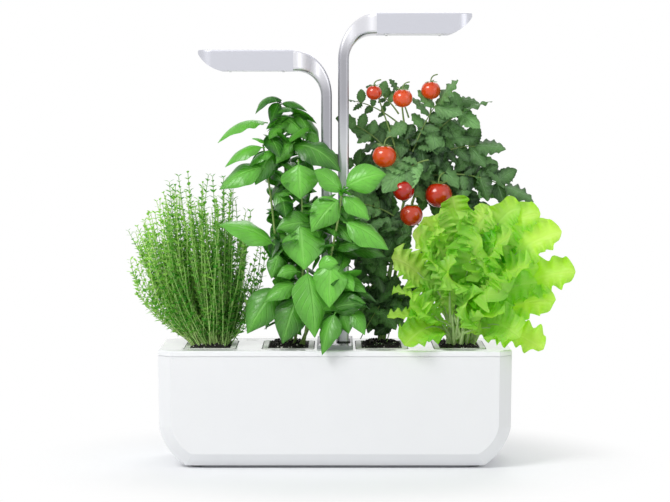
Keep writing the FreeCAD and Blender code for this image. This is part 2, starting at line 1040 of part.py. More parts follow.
def window_block(inset, z0, z1):
    """The light window in the head's underside."""
    x0 = neck_end_x + window_neck_margin + inset
    x1 = head_reach - belly_length - window_nose_margin - inset
    y = head_depth / 2 - window_side_margin - inset
    return block(x0, x1, -y, y, z0, z1)


def make_head():
    """The head's shell, open below at the light window."""
    form = head_profile(0).common(nose_plan(0))
    top_edges = [
        e
        for e in form.Edges
        if e.BoundBox.ZMin > lamp_top - 0.01 and e.BoundBox.XMax > neck_end_x + 1
    ]
    form = form.makeFillet(head_edge_round, top_edges)
    hollow = head_profile(head_wall).common(nose_plan(head_wall))
    end = neck_end_x + head_wall
    hollow = hollow.cut(block(0, end, -head_depth, head_depth, 0, lamp_top))
    low = lamp_top - head_thickness
    window = window_block(0, low - 1, low + head_wall + 1)
    start = V(neck_end_x - 1, 0, lamp_top - cable_drop)
    cable_way = pin(cable_way_radius, start, V(1, 0, 0), 2 * head_wall)
    return form.cut([hollow, window, cable_way])


def make_diffuser():
    """The milky window under the lamp, with a lip inside the shell."""
    low = lamp_top - head_thickness
    plate = window_block(diffuser_clearance, low, low + head_wall)
    inside = low + head_wall
    lip = window_block(-diffuser_lip, inside, inside + diffuser_lip_thickness)
    return plate.fuse(lip)


def led_board_z():
    return lamp_top - head_thickness + head_wall + diffuser_lip_thickness + led_board_gap


def make_led_board():
    z = led_board_z()
    board = window_block(-led_board_overlap, z, z + led_board_thickness)
    legs = []
    edge = board.BoundBox
    y = edge.YMax - led_leg_inset
    low = z - led_board_gap
    for x in (edge.XMin + led_leg_inset, edge.XMax - led_leg_inset):
        for side in (-y, y):
            legs.append(pin(led_leg_radius, V(x, side, low), UP, led_board_gap))
    return board.fuse(legs)


def make_heat_plate():
    z = led_board_z() + led_board_thickness
    return window_block(-led_board_overlap, z, z + heat_plate_thickness)


def make_leds():
    """The rows of light chips on the underside of their board."""
    z = led_board_z()
    area = window_block(led_margin, z - led_height, z).BoundBox
    chips = []
    for i in range(led_columns):
        for j in range(led_rows):
            x = area.XMin + area.XLength * i / (led_columns - 1)
            y = area.YMin + area.YLength * j / (led_rows - 1)
            half = led_size / 2
            chips.append(block(x - half, x + half, y - half, y + half, z - led_height, z))
    return Part.makeCompound(chips)


def make_lamp_screws():
    """Four screws in the underside of the head, outside the window."""
    low = lamp_top - head_thickness
    area = window_block(-lamp_screw_margin, low, low + 1).BoundBox
    heads = []
    for x in (area.XMin + lamp_screw_inset, area.XMax - lamp_screw_inset):
        for y in (area.YMin, area.YMax):
            start = V(x, y, low - lamp_screw_head)
            heads.append(pin(lamp_screw_radius, start, UP, lamp_screw_head))
    return Part.makeCompound(heads)


def make_lamp_cable():
    """The flat lead inside the mast, from its foot up round the neck into the head."""
    low = V(mast_x, 0, mast_foot_z - shoe_lip)
    bend_radius = neck_inner_radius + cable_bend_offset
    level = lamp_top - cable_drop
    corner_z = level - bend_radius
    corner_x = mast_x + bend_radius
    turn = V(
        corner_x - bend_radius * math.sqrt(0.5),
        0,
        corner_z + bend_radius * math.sqrt(0.5),
    )
    path = Part.Wire(
        [
            Part.LineSegment(low, V(mast_x, 0, corner_z)).toShape(),
            Part.Arc(V(mast_x, 0, corner_z), turn, V(corner_x, 0, level)).toShape(),
            Part.LineSegment(
                V(corner_x, 0, level), V(neck_end_x + head_wall + cable_reach, 0, level)
            ).toShape(),
        ]
    )
    ring = Part.Wire([Part.makeCircle(cable_radius, low, UP)])
    return path.makePipeShell([ring], True, True)


def make_flap():
    """The filling flap: a plate with a hinge barrel under its back edge."""
    axis = flap_axis()
    x0 = axis.x
    plate = block(
        x0,
        x0 + flap_width,
        flap_front_y,
        flap_back_y,
        lid_top - flap_thickness + flap_seat_gap,
        lid_top,
    )
    barrel = pin(flap_barrel_radius, axis, V(1, 0, 0), flap_width)
    room = pin(
        flap_pin_radius + pin_clearance, axis - V(1, 0, 0), V(1, 0, 0), flap_width + 2
    )
    nail = rounded_block(
        flap_x,
        flap_front_y + nail_margin,
        nail_width,
        nail_depth,
        nail_depth / 2 - 0.1,
        lid_top - nail_sink,
        lid_top + 1,
    )
    return plate.fuse(barrel).cut([room, nail])


def make_flap_pin():
    axis = flap_axis()
    reach = flap_clearance + flap_frame_wall
    return pin(
        flap_pin_radius, axis - V(reach, 0, 0), V(1, 0, 0), flap_width + 2 * reach
    )


def float_low():
    return tank_bottom + tank_wall + cage_floor_gap + cage_wall + float_gap


def make_float():
    z = float_low()
    body = pin(float_radius, V(float_x, float_y, z), UP, float_height)
    stem = pin(
        float_stem_radius,
        V(float_x, float_y, z),
        UP,
        lid_top - float_rise - z,
    )
    return body.fuse(stem)


def make_cage():
    """The slotted tube that keeps the float upright, hung from the lid."""
    low = tank_bottom + tank_wall + cage_floor_gap
    top = lid_top - lid_plate
    inner = float_radius + cage_clearance
    outer = inner + cage_wall
    centre = V(float_x, float_y, low)
    tube = pin(outer, centre, UP, top - low)
    room = pin(inner, centre + UP * cage_wall, UP, top - low)
    drain = pin(float_stem_radius * 2, centre - UP, UP, cage_wall + 2)
    slots = []
    for angle in (0, 90):
        slot = block(
            -outer - 1,
            outer + 1,
            -cage_slot_width / 2,
            cage_slot_width / 2,
            low + cage_slot_margin,
            low + cage_slot_margin + cage_slot_height,
        )
        slot.rotate(V(0, 0, 0), UP, angle)
        slot.translate(V(float_x, float_y, 0))
        slots.append(slot)
    return tube.cut([room, drain] + slots)


def ring_points(cx, ring):
    """One ring of a leafy mass, given as a height share and x, y, half x, half y."""
    share, x, y, half_x, half_y = ring
    z = foliage_low + share * foliage_height
    points = []
    for i in range(plant_sides):
        angle = 2 * math.pi * i / plant_sides
        px = cx + plant_unit * (x + half_x * math.cos(angle))
        py = well_y + plant_unit * (y + half_y * math.sin(angle))
        points.append(V(px, py, z))
    return points


def foliage(cx, rings):
    """A closed leafy mass through rings, measured from the middle of the plant's well."""
    loops = [ring_points(cx, ring) for ring in rings]
    faces = []
    for low, high in zip(loops, loops[1:]):
        for i in range(plant_sides):
            j = (i + 1) % plant_sides
            for tri in ((low[i], low[j], high[j]), (low[i], high[j], high[i])):
                faces.append(Part.Face(Part.makePolygon(list(tri) + [tri[0]])))
    for loop in (loops[0], loops[-1]):
        faces.append(Part.Face(Part.makePolygon(loop + loop[:1])))
    solid = Part.Solid(Part.Shell(faces))
    if solid.Volume < 0:
        solid.reverse()
    return solid


def stems(cx, places, radius):
    """The bare stems between the soil and the leaves."""
    feet = [V(cx + plant_unit * x, well_y + plant_unit * y, soil_top) for x, y in places]
    return [pin(radius, foot, UP, stem_height) for foot in feet]


def make_thyme():
    cx = well_places["thyme"]
    bush = foliage(
        cx,
        [
            (0, 0, 0, 2.7, 3.4),
            (0.08, -0.8, 0, 5.8, 5.0),
            (0.18, -1.5, 0, 7.8, 5.8),
            (0.325, -1.5, 0, 7.8, 5.8),
            (0.41, -1.3, 0, 6.0, 4.8),
            (0.47, -1.0, 0, 3.8, 3.2),
        ],
    )
    feet = stems(cx, ((-1.4, -2), (1.2, -2.2), (-1.6, 1.2), (1.4, 1.8), (0, -0.2)), thin_stem)
    return Part.makeCompound([bush] + feet)


def make_basil():
    """Two masses: the tall plant, and the shoots that lean in front of the masts."""
    cx = well_places["basil"]
    tall = foliage(
        cx,
        [
            (0, 0, 0, 2.6, 3.4),
            (0.105, -0.2, -0.5, 3.0, 5.8),
            (0.275, -0.2, -0.7, 3.1, 6.2),
            (0.495, -0.2, -0.9, 3.1, 6.0),
            (0.63, -0.4, -0.9, 2.9, 4.8),
            (0.73, -0.8, -0.7, 2.0, 3.0),
        ],
    )
    front = foliage(
        cx,
        [
            (0, 6.05, -5.3, 1.8, 1.5),
            (0.095, 5.85, -5.5, 2.4, 2.2),
            (0.205, 6.45, -5.5, 4.4, 2.8),
            (0.325, 6.75, -5.6, 5.0, 2.9),
            (0.46, 7.45, -5.6, 4.4, 2.8),
            (0.525, 8.25, -5.3, 3.0, 2.0),
        ],
    )
    feet = stems(cx, ((-1, -1.8), (1.2, -1.4), (0, 1.6)), middle_stem)
    return Part.makeCompound([tall, front] + feet)


def make_tomato():
    """The bush, with its fruit half sunk in the leaves in front."""
    cx = well_places["tomato"]
    bush = foliage(
        cx,
        [
            (0, 0.2, 2.7, 2.2, 2.2),
            (0.155, 0.4, 3.3, 3.4, 3.8),
            (0.35, 1.6, 3.7, 5.2, 4.4),
            (0.545, 3.8, 4.1, 7.6, 4.8),
            (0.665, 3.4, 4.1, 6.8, 4.4),
            (0.81, 1.4, 3.5, 4.4, 3.0),
        ],
    )
    fruit = []
    for share, x, y, radius in (
        (0.757, -1.0, 0.3, 1.0),
        (0.742, 2.7, 0.1, 1.25),
        (0.766, 6.2, 1.2, 1.25),
        (0.562, 0.4, -0.4, 1.5),
        (0.457, 2.8, -0.3, 1.4),
        (0.441, 7.25, 1.6, 1.7),
        (0.379, 3.7, -0.2, 1.5),
    ):
        z = foliage_low + share * foliage_height
        middle = V(cx + plant_unit * x, well_y + plant_unit * y, z)
        fruit.append(Part.makeSphere(plant_unit * radius, middle))
    feet = stems(cx, ((-0.4, 2.4), (1, 3.2)), middle_stem)
    return Part.makeCompound([bush.fuse(fruit)] + feet)


def make_lettuce():
    cx = well_places["lettuce"]
    head = foliage(
        cx,
        [
            (0, 0, -1.4, 2.2, 2.0),
            (0.08, 1.2, -3.7, 6.8, 3.8),
            (0.17, 3.0, -4.3, 11.2, 4.2),
            (0.32, 3.2, -4.3, 11.9, 4.2),
            (0.41, 3.0, -4.3, 9.0, 3.6),
            (0.467, 3.0, -4.1, 5.2, 2.4),
        ],
    )
    feet = stems(cx, ((-0.8, -1.4), (0.8, -1.6), (0, -0.6)), thick_stem)
    return Part.makeCompound([head] + feet)


def write(name, shape):
    shape.exportStep("parts/" + name + ".step")


def lowered(shape):
    """The left lamp's piece: the right one's mirror image, at the left lamp's height."""
    other = mirrored(shape)
    other.translate(V(0, 0, -lamp_drop_left))
    return other


def main():
    os.makedirs("parts", exist_ok=True)
    write("tank_shell", make_tank())
    write("base_pad", make_pad())
    write("lid_panel", make_lid())
    write("dry_well", make_dry_well())
    write("power_jack", make_jack())
    write("circuit_board", make_board())
    write("mast_guide", make_guide())
    bush = make_bush()
    write("mast_bush_right", bush)
    write("mast_bush_left", mirrored(bush))
    write("console_frame", make_console())
    write("control_panel", make_panel())
    write("indicator_lens", make_indicator())
    write("light_button", make_button())
    write("button_dome", make_button_dome())
    write("button_seat", make_button_seat())
    write("fill_flap", make_flap())
    write("fill_flap_pin", make_flap_pin())
    write("water_float", make_float())
    write("float_cage", make_cage())
    lamp = {
        "mast": make_mast(),
        "mast_shoe": make_shoe(),
        "neck": make_neck(),
        "lamp_shell": make_head(),
        "diffuser": make_diffuser(),
        "led_board": make_led_board(),
        "led_chips": make_leds(),
        "heat_plate": make_heat_plate(),
        "lamp_screws": make_lamp_screws(),
        "lamp_cable": make_lamp_cable(),
    }
    for name, shape in lamp.items():
        write("right_" + name, shape)
        write("left_" + name, lowered(shape))
    plants = {
        "thyme": make_thyme,
        "basil": make_basil,
        "tomato": make_tomato,
        "lettuce": make_lettuce,
    }
    for name, cx in well_places.items():
        write(name + "_cradle", make_cradle(cx))
        write(name + "_tray", make_tray(cx))
        write(name + "_soil", make_soil(cx))
        write(name + "_wick", make_wick(cx))
        write(name + "_plant", plants[name]())


main()
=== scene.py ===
# A countertop hydroponic garden: a white tank with a lift-off lid, four planted
# cartridges and two silver grow lamps. Metres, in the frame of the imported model.
import math
import random

import bpy
from mathutils import Matrix, Vector, noise


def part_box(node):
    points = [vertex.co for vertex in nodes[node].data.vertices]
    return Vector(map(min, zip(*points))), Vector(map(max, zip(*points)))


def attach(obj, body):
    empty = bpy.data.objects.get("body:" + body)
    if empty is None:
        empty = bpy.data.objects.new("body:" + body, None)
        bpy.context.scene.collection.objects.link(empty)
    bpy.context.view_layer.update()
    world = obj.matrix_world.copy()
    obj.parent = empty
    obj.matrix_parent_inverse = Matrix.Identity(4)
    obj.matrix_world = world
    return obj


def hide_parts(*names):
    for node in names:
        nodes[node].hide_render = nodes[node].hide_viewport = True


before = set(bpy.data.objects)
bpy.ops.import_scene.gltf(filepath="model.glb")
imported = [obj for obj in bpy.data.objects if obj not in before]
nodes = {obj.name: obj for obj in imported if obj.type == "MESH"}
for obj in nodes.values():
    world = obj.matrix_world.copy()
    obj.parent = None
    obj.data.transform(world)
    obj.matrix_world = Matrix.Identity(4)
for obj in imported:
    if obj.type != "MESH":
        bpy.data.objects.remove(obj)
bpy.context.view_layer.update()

# The camera stands where the photographer stood: far off, a little above the lid, and
# tilted down. All that it sees of the room is white, apart from the soft shadow that
# the garden throws on the worktop.
CAMERA_DISTANCE = 3.1
CAMERA_HEIGHT = 0.448
CAMERA_TILT = math.radians(3.35)
CAMERA_LENS = 131.6

camera = bpy.data.objects.new("camera", bpy.data.cameras.new("camera"))
bpy.context.scene.collection.objects.link(camera)
camera.location = (0, -CAMERA_DISTANCE, CAMERA_HEIGHT)
camera.rotation_euler = (math.pi / 2 - CAMERA_TILT, 0, 0)
camera.data.lens = CAMERA_LENS
bpy.context.scene.camera = camera
bpy.context.scene.view_settings.view_transform = "Standard"

# Soft studio light: a white room, a large lamp at the front left and above, and weaker
# ones at the right and behind. Each lamp: its place, its width and its power.
ROOM_LIGHT = 0.5
LAMPS = (
    ("key_light", (-1.3, -1.5, 2.0), 1.1, 36.0),
    ("fill_light", (1.7, -1.4, 0.9), 1.4, 6.0),
    ("back_light", (0.3, 1.6, 1.8), 1.4, 10.0),
)
LIGHT_AIM = Vector((0, 0, 0.2))


def add_node(tree, kind, settings=None, **sockets):
    """A shader node with its settings; each named socket is linked or given its value."""
    node = tree.nodes.new("ShaderNode" + kind)
    for label, value in (settings or {}).items():
        setattr(node, label, value)
    for label, value in sockets.items():
        socket = node.inputs[label.replace("_", " ")]
        if isinstance(value, bpy.types.NodeSocket):
            tree.links.new(value, socket)
        else:
            socket.default_value = value
    return node


def add_sum(tree, operation, *values):
    """The result of a sum on sockets or numbers."""
    node = add_node(tree, "Math", {"operation": operation})
    for socket, value in zip(node.inputs, values):
        if isinstance(value, (int, float)):
            socket.default_value = value
        else:
            tree.links.new(value, socket)
    return node.outputs[0]


def is_seen_ray(tree):
    """1 for a ray that comes from the camera, a mirror or through glass."""
    path = add_node(tree, "LightPath")
    total = path.outputs["Is Camera Ray"]
    for kind in ("Is Glossy Ray", "Is Transmission Ray"):
        total = add_sum(tree, "MAXIMUM", total, path.outputs[kind])
    return total


world = bpy.data.worlds.new("room")
world.use_nodes = True
bpy.context.scene.world = world
tree = world.node_tree
background = tree.nodes["Background"]
background.inputs["Color"].default_value = (1, 1, 1, 1)
strength = add_node(tree, "MapRange", Value=is_seen_ray(tree), To_Min=ROOM_LIGHT, To_Max=1.0)
tree.links.new(strength.outputs["Result"], background.inputs["Strength"])

for name, place, size, power in LAMPS:
    lamp = bpy.data.objects.new(name, bpy.data.lights.new(name, "AREA"))
    bpy.context.scene.collection.objects.link(lamp)
    lamp.data.shape = "DISK"
    lamp.data.size = size
    lamp.data.energy = power
    lamp.location = place
    lamp.rotation_euler = (LIGHT_AIM - lamp.location).to_track_quat("-Z", "Y").to_euler()

# The worktop: a pale floor that keeps the shadow near the garden and fades to the
# room's white further out.
FLOOR_RADIUS = 6.0
FLOOR_COLOUR = (0.93, 0.94, 0.96, 1)
FLOOR_ROUGHNESS = 0.6
SHADOW_REACH = (0.2, 0.42)


def smooth_step(tree, value, low, high, first=0, last=1):
    """Turns smoothly from first to last while a value goes from low to high."""
    node = add_node(
        tree, "MapRange", {"interpolation_type": "SMOOTHSTEP"},
        Value=value, From_Min=low, From_Max=high, To_Min=first, To_Max=last,
    )
    return node.outputs["Result"]


def show_mix(tree, share, first, second):
    """Sends two shaders, mixed by the second's share, to a material's output."""
    mixed = add_node(tree, "MixShader", Fac=share)
    tree.links.new(first.outputs[0], mixed.inputs[1])
    tree.links.new(second.outputs[0], mixed.inputs[2])
    tree.links.new(mixed.outputs[0], tree.nodes["Material Output"].inputs["Surface"])


bpy.ops.mesh.primitive_circle_add(vertices=64, radius=FLOOR_RADIUS, fill_type="NGON")
floor = bpy.context.object
floor.name = "worktop"
paint = bpy.data.materials.new("worktop")
paint.use_nodes = True
tree = paint.node_tree
surface = tree.nodes["Principled BSDF"]
surface.inputs["Base Color"].default_value = FLOOR_COLOUR
surface.inputs["Roughness"].default_value = FLOOR_ROUGHNESS
place = add_node(tree, "NewGeometry").outputs["Position"]
distance = add_node(tree, "VectorMath", {"operation": "LENGTH"}, Vector=place)
far = smooth_step(tree, distance.outputs["Value"], *SHADOW_REACH)
seen = add_sum(tree, "MULTIPLY", is_seen_ray(tree), far)
show_mix(tree, seen, surface, add_node(tree, "Emission", Color=(1, 1, 1, 1)))
floor.data.materials.append(paint)


# Tank: one deep moulding in white plastic, satin on its faces, with the faint orange-peel
# of a polished mould. Its rubber foot is a dark sheet glued under it.
def tone(red, green, blue):
    """A colour as a printed sample gives it, 0 to 255, turned into light values."""
    return tuple((c / 255) ** 2.2 for c in (red, green, blue)) + (1,)


def group_nodes(name, inputs, outputs):
    """An empty shader group with named sockets, and its two end nodes."""
    group = bpy.data.node_groups.new(name, "ShaderNodeTree")
    kinds = {"COLOR": "NodeSocketColor", "VALUE": "NodeSocketFloat", "VECTOR": "NodeSocketVector"}
    for direction, sockets in (("INPUT", inputs), ("OUTPUT", outputs)):
        for label, kind, *value in sockets:
            socket = group.interface.new_socket(label, in_out=direction, socket_type=kinds[kind])
            if value:
                socket.default_value = value[0]
    return group, group.nodes.new("NodeGroupInput"), group.nodes.new("NodeGroupOutput")


def mix_colours(tree, share, first, second):
    """Two colours, each a socket or a colour, mixed by the second's share."""
    mix = add_node(tree, "Mix", {"data_type": "RGBA"}, Factor=share, A=first, B=second)
    return mix.outputs["Result"]


def wire_relief(group, start, end, pattern, shares, height):
    """Lets a pattern vary a skin's roughness between two shares of it and dent its face."""
    spread = add_node(group, "MapRange", Value=pattern, To_Min=shares[0], To_Max=shares[1])
    rough = add_sum(group, "MULTIPLY", start.outputs["Roughness"], spread.outputs["Result"])
    bump = add_node(group, "Bump", Strength=start.outputs["Depth"], Distance=height, Height=pattern)
    group.links.new(rough, end.inputs["Roughness"])
    group.links.new(bump.outputs["Normal"], end.inputs["Normal"])


def make_moulded_group():
    """The skin of a moulded or rubber part: fine grain, slight mottling, faint wear."""
    group, start, end = group_nodes(
        "moulded_skin",
        (
            ("Colour", "COLOR"),
            ("Shade", "COLOR"),
            ("Roughness", "VALUE", 0.4),
            ("Grain", "VALUE", 900.0),
            ("Depth", "VALUE", 0.1),
        ),
        (("Colour", "COLOR"), ("Roughness", "VALUE"), ("Normal", "VECTOR")),
    )
    place = add_node(group, "TexCoord").outputs["Object"]
    grain = add_node(group, "TexNoise", Vector=place, Scale=start.outputs["Grain"], Detail=3)
    cloud = add_node(group, "TexNoise", Vector=place, Scale=14, Detail=4).outputs["Fac"]
    mixed = mix_colours(group, cloud, start.outputs["Colour"], start.outputs["Shade"])
    group.links.new(mixed, end.inputs["Colour"])
    wire_relief(group, start, end, grain.outputs["Fac"], (0.85, 1.2), 0.0002)
    return group


moulded = make_moulded_group()


def skin_material(name, group, **settings):
    """A finish coloured by a skin group, with the group's node and the shader it feeds."""
    material = bpy.data.materials.new(name)
    material.use_nodes = True
    tree = material.node_tree
    skin = tree.nodes.new("ShaderNodeGroup")
    skin.node_tree = group
    for label, value in settings.items():
        skin.inputs[label.replace("_", " ").title()].default_value = value
    shader = tree.nodes["Principled BSDF"]
    tree.links.new(skin.outputs["Colour"], shader.inputs["Base Color"])
    tree.links.new(skin.outputs["Roughness"], shader.inputs["Roughness"])
    return material, skin, shader


def moulded_material(name, colour, shade, roughness, grain=900.0, depth=0.1, coat=0.0):
    """A plastic or rubber finish that uses the moulded skin."""
    material, skin, shader = skin_material(
        name, moulded, colour=colour, shade=shade, roughness=roughness, grain=grain, depth=depth
    )
    shader.inputs["Coat Weight"].default_value = coat
    shader.inputs["Coat Roughness"].default_value = 0.12
    material.node_tree.links.new(skin.outputs["Normal"], shader.inputs["Normal"])
    return material


def finish_nodes(material, *names):
    """Gives carried-over nodes their finish."""
    for name in names:
        nodes[name].data.materials.clear()
        nodes[name].data.materials.append(material)


tank_white = moulded_material(
    "satin_white", tone(238, 239, 240), tone(234, 235, 237), 0.34, depth=0.05, coat=0.15
)
finish_nodes(tank_white, "tank_shell")
foot_rubber = moulded_material(
    "foot_rubber", tone(122, 124, 128), tone(108, 110, 114), 0.8, grain=1600.0, depth=0.4
)
finish_nodes(foot_rubber, "base_pad")

# Lid: a thinner, glossier white moulding that drops onto the tank. Its filling flap is
# the same plastic and turns on a steel pin.
lid_white = moulded_material(
    "gloss_white", tone(243, 244, 245), tone(240, 241, 243), 0.16, grain=300.0, depth=0.03, coat=0.6
)
finish_nodes(lid_white, "lid_panel", "fill_flap")


def make_metal_group():
    """The skin of a metal part: fine lines along one axis, a slight cloudiness, and, where two
    heights are given, a painted shade that takes over from its colour between them.
    """
    group, start, end = group_nodes(
        "metal_skin",
        (
            ("Colour", "COLOR"),
            ("Shade", "COLOR"),
            ("Roughness", "VALUE", 0.4),
            ("Stretch", "VECTOR"),
            ("Depth", "VALUE", 0.1),
            ("Painted Shade Start", "VALUE", 10.0),
            ("Painted Shade End", "VALUE", 11.0),
        ),
        (("Colour", "COLOR"), ("Roughness", "VALUE"), ("Normal", "VECTOR")),
    )
    place = add_node(group, "TexCoord").outputs["Object"]
    scaled = add_node(group, "VectorMath", {"operation": "MULTIPLY"}, Vector=place)
    group.links.new(start.outputs["Stretch"], scaled.inputs[1])
    lines = add_node(group, "TexNoise", Vector=scaled.outputs["Vector"], Scale=1.0, Detail=5)
    # Painted shade: between the two heights the colour turns to the shade colour.
    height = add_node(group, "SeparateXYZ", Vector=place).outputs["Z"]
    painted_shade_fade = smooth_step(group, height, start.outputs["Painted Shade Start"], start.outputs["Painted Shade End"])
    cloud_and_painted_shade = add_sum(group, "MULTIPLY_ADD", lines.outputs["Fac"], 0.2, painted_shade_fade)
    cloud_and_painted_shade.node.use_clamp = True
    mixed = mix_colours(group, cloud_and_painted_shade, start.outputs["Colour"], start.outputs["Shade"])
    group.links.new(mixed, end.inputs["Colour"])
    wire_relief(group, start, end, lines.outputs["Fac"], (0.8, 1.25), 0.0001)
    return group


metal_skin = make_metal_group()


def metal_material(name, colour, shade, roughness, stretch, depth=0.1, painted_shade_fade=None):
    """A metal finish that uses the metal skin. The fade heights, if given, are the two
    heights between which it turns from colour to painted shade."""
    material, skin, shader = skin_material(
        name, metal_skin, colour=colour, shade=shade, roughness=roughness, stretch=stretch, depth=depth
    )
    if painted_shade_fade:
        skin.inputs["Painted Shade Start"].default_value, skin.inputs["Painted Shade End"].default_value = painted_shade_fade
    shader.inputs["Metallic"].default_value = 1.0
    material.node_tree.links.new(skin.outputs["Normal"], shader.inputs["Normal"])
    return material


steel = metal_material("turned_steel", tone(190, 191, 194), tone(160, 161, 165), 0.3, (40, 900, 900))
finish_nodes(steel, "fill_flap_pin", "left_lamp_screws", "right_lamp_screws")

# Console: a grey moulded frame with a dark glossy panel, set into the lid between the two
# inner wells. A metal cap is the lamps' button, over a rubber dome, beside a milky lens.
console_grey = moulded_material(
    "console_grey", tone(172, 174, 178), tone(160, 162, 166), 0.45, depth=0.2
)
finish_nodes(console_grey, "console_frame")
panel_dark = moulded_material(
    "panel_dark", tone(88, 90, 94), tone(78, 80, 84), 0.22, grain=500.0, depth=0.04, coat=0.5
)
finish_nodes(panel_dark, "control_panel")
button_silver = metal_material(
    "button_silver", tone(198, 199, 203), tone(184, 185, 189), 0.35, (900, 60, 900)
)
finish_nodes(button_silver, "light_button")
lens_milky = moulded_material("lens_milky", tone(205, 228, 214), tone(190, 216, 202), 0.2)
finish_nodes(lens_milky, "indicator_lens")
dome_rubber = moulded_material("dome_rubber", tone(70, 70, 72), tone(60, 60, 62), 0.7, depth=0.3)
finish_nodes(dome_rubber, "button_dome")

# Parts inside the tank and under the lid: grey mouldings that hang from the lid, black
# slippery ones for the masts, a green board, an orange foam float, cradles, trays, wicks.
inner_grey = moulded_material("inner_grey", tone(204, 206, 208), tone(190, 192, 195), 0.5, depth=0.2)
finish_nodes(inner_grey, "dry_well", "mast_guide", "button_seat", "float_cage")
slide_black = moulded_material("slide_black", tone(60, 61, 64), tone(48, 49, 52), 0.45, depth=0.2)
finish_nodes(
    slide_black, "mast_bush_left", "mast_bush_right", "left_mast_shoe", "right_mast_shoe", "power_jack"
)
board_green = moulded_material("board_green", tone(28, 96, 58), tone(20, 80, 46), 0.4, grain=500.0)
finish_nodes(board_green, "circuit_board")
float_orange = moulded_material("float_orange", tone(222, 116, 40), tone(208, 100, 32), 0.6, depth=0.5)
finish_nodes(float_orange, "water_float")
cradle_grey = moulded_material("cradle_grey", tone(118, 121, 124), tone(104, 107, 110), 0.5, depth=0.2)
tray_white = moulded_material("tray_white", tone(232, 233, 230), tone(220, 221, 217), 0.55, depth=0.3)
wick_felt = moulded_material(
    "wick_felt", tone(214, 209, 196), tone(186, 180, 166), 0.95, grain=2200.0, depth=1.0
)
PLANTS = ("thyme", "basil", "tomato", "lettuce")
for plant in PLANTS:
    finish_nodes(cradle_grey, plant + "_cradle")
    finish_nodes(tray_white, plant + "_tray")
    finish_nodes(wick_felt, plant + "_wick")

# Lamps: drawn masts and cast heads, all blasted and anodised to a satin silver. The neck's
# bend is painted lighter as a painted highlight, and the top of the mast and the foot of the
# neck are painted darker as painted shade. A milky window covers the white lamp board and
# its yellow chips.
# Each pair: a colour and a second tone. The bend's colour is a painted highlight, and the second tones
# of bend and mast are painted shade.
HEAD_SILVER = (tone(206, 207, 215), tone(198, 199, 207))
BEND_PAINTED_HIGHLIGHT_AND_SHADE = (tone(230, 230, 235), tone(168, 168, 174))
MAST_SILVER_AND_PAINTED_SHADE = (tone(206, 208, 211), tone(164, 164, 170))
# The heights, from the neck's foot, between which the lighter tone gives way to the painted shade.
BEND_PAINTED_SHADE_HEIGHTS = (0.034, -0.002)
MAST_PAINTED_SHADE_HEIGHTS = (-0.13, -0.03)
bare_plate = metal_material("bare_plate", tone(200, 201, 204), tone(180, 181, 184), 0.35, (30, 900, 900))
window_milky = moulded_material(
    "window_milky", tone(232, 234, 236), tone(226, 228, 231), 0.35, depth=0.1
)
board_white = moulded_material("board_white", tone(236, 236, 232), tone(228, 228, 224), 0.4)
chip_yellow = moulded_material("chip_yellow", tone(236, 206, 96), tone(228, 190, 70), 0.25)
lead_black = moulded_material("lead_black", tone(44, 44, 46), tone(36, 36, 38), 0.55, depth=0.3)
for side in ("left_", "right_"):
    neck_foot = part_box(side + "neck")[0].z
    for part, tones, painted_shade_fade in (
        ("lamp_shell", HEAD_SILVER, None),
        ("neck", BEND_PAINTED_HIGHLIGHT_AND_SHADE, BEND_PAINTED_SHADE_HEIGHTS),
        ("mast", MAST_SILVER_AND_PAINTED_SHADE, MAST_PAINTED_SHADE_HEIGHTS),
    ):
        heights = painted_shade_fade and tuple(neck_foot + rise for rise in painted_shade_fade)
        silver = metal_material(side + part + "_silver", *tones, 0.4, (700, 700, 700), 0.05, heights)
        finish_nodes(silver, side + part)
    finish_nodes(bare_plate, side + "heat_plate")
    finish_nodes(window_milky, side + "diffuser")
    finish_nodes(board_white, side + "led_board")
    finish_nodes(chip_yellow, side + "led_chips")
    finish_nodes(lead_black, side + "lamp_cable")

# Soil: black spongy growing medium, heaped a little in each cartridge and dotted with
# white grains of perlite. It sits inside the tray's pale collar.
SOIL_CELL = 0.0016
SOIL_SIDE = 0.012
SOIL_BELOW_COLLAR = 0.0026
MOUND_HEIGHT = 0.0045
MOUND_SLOPE = 0.011
LOOSE_MARGIN = 0.003
CRUMBS = 260
GRAINS = 46
soil_black = moulded_material("soil_black", tone(42, 37, 34), tone(16, 13, 12), 0.95, 1500.0, 1.0)
grain_white = moulded_material("grain_white", tone(236, 234, 228), tone(205, 200, 192), 0.8, depth=0.5)


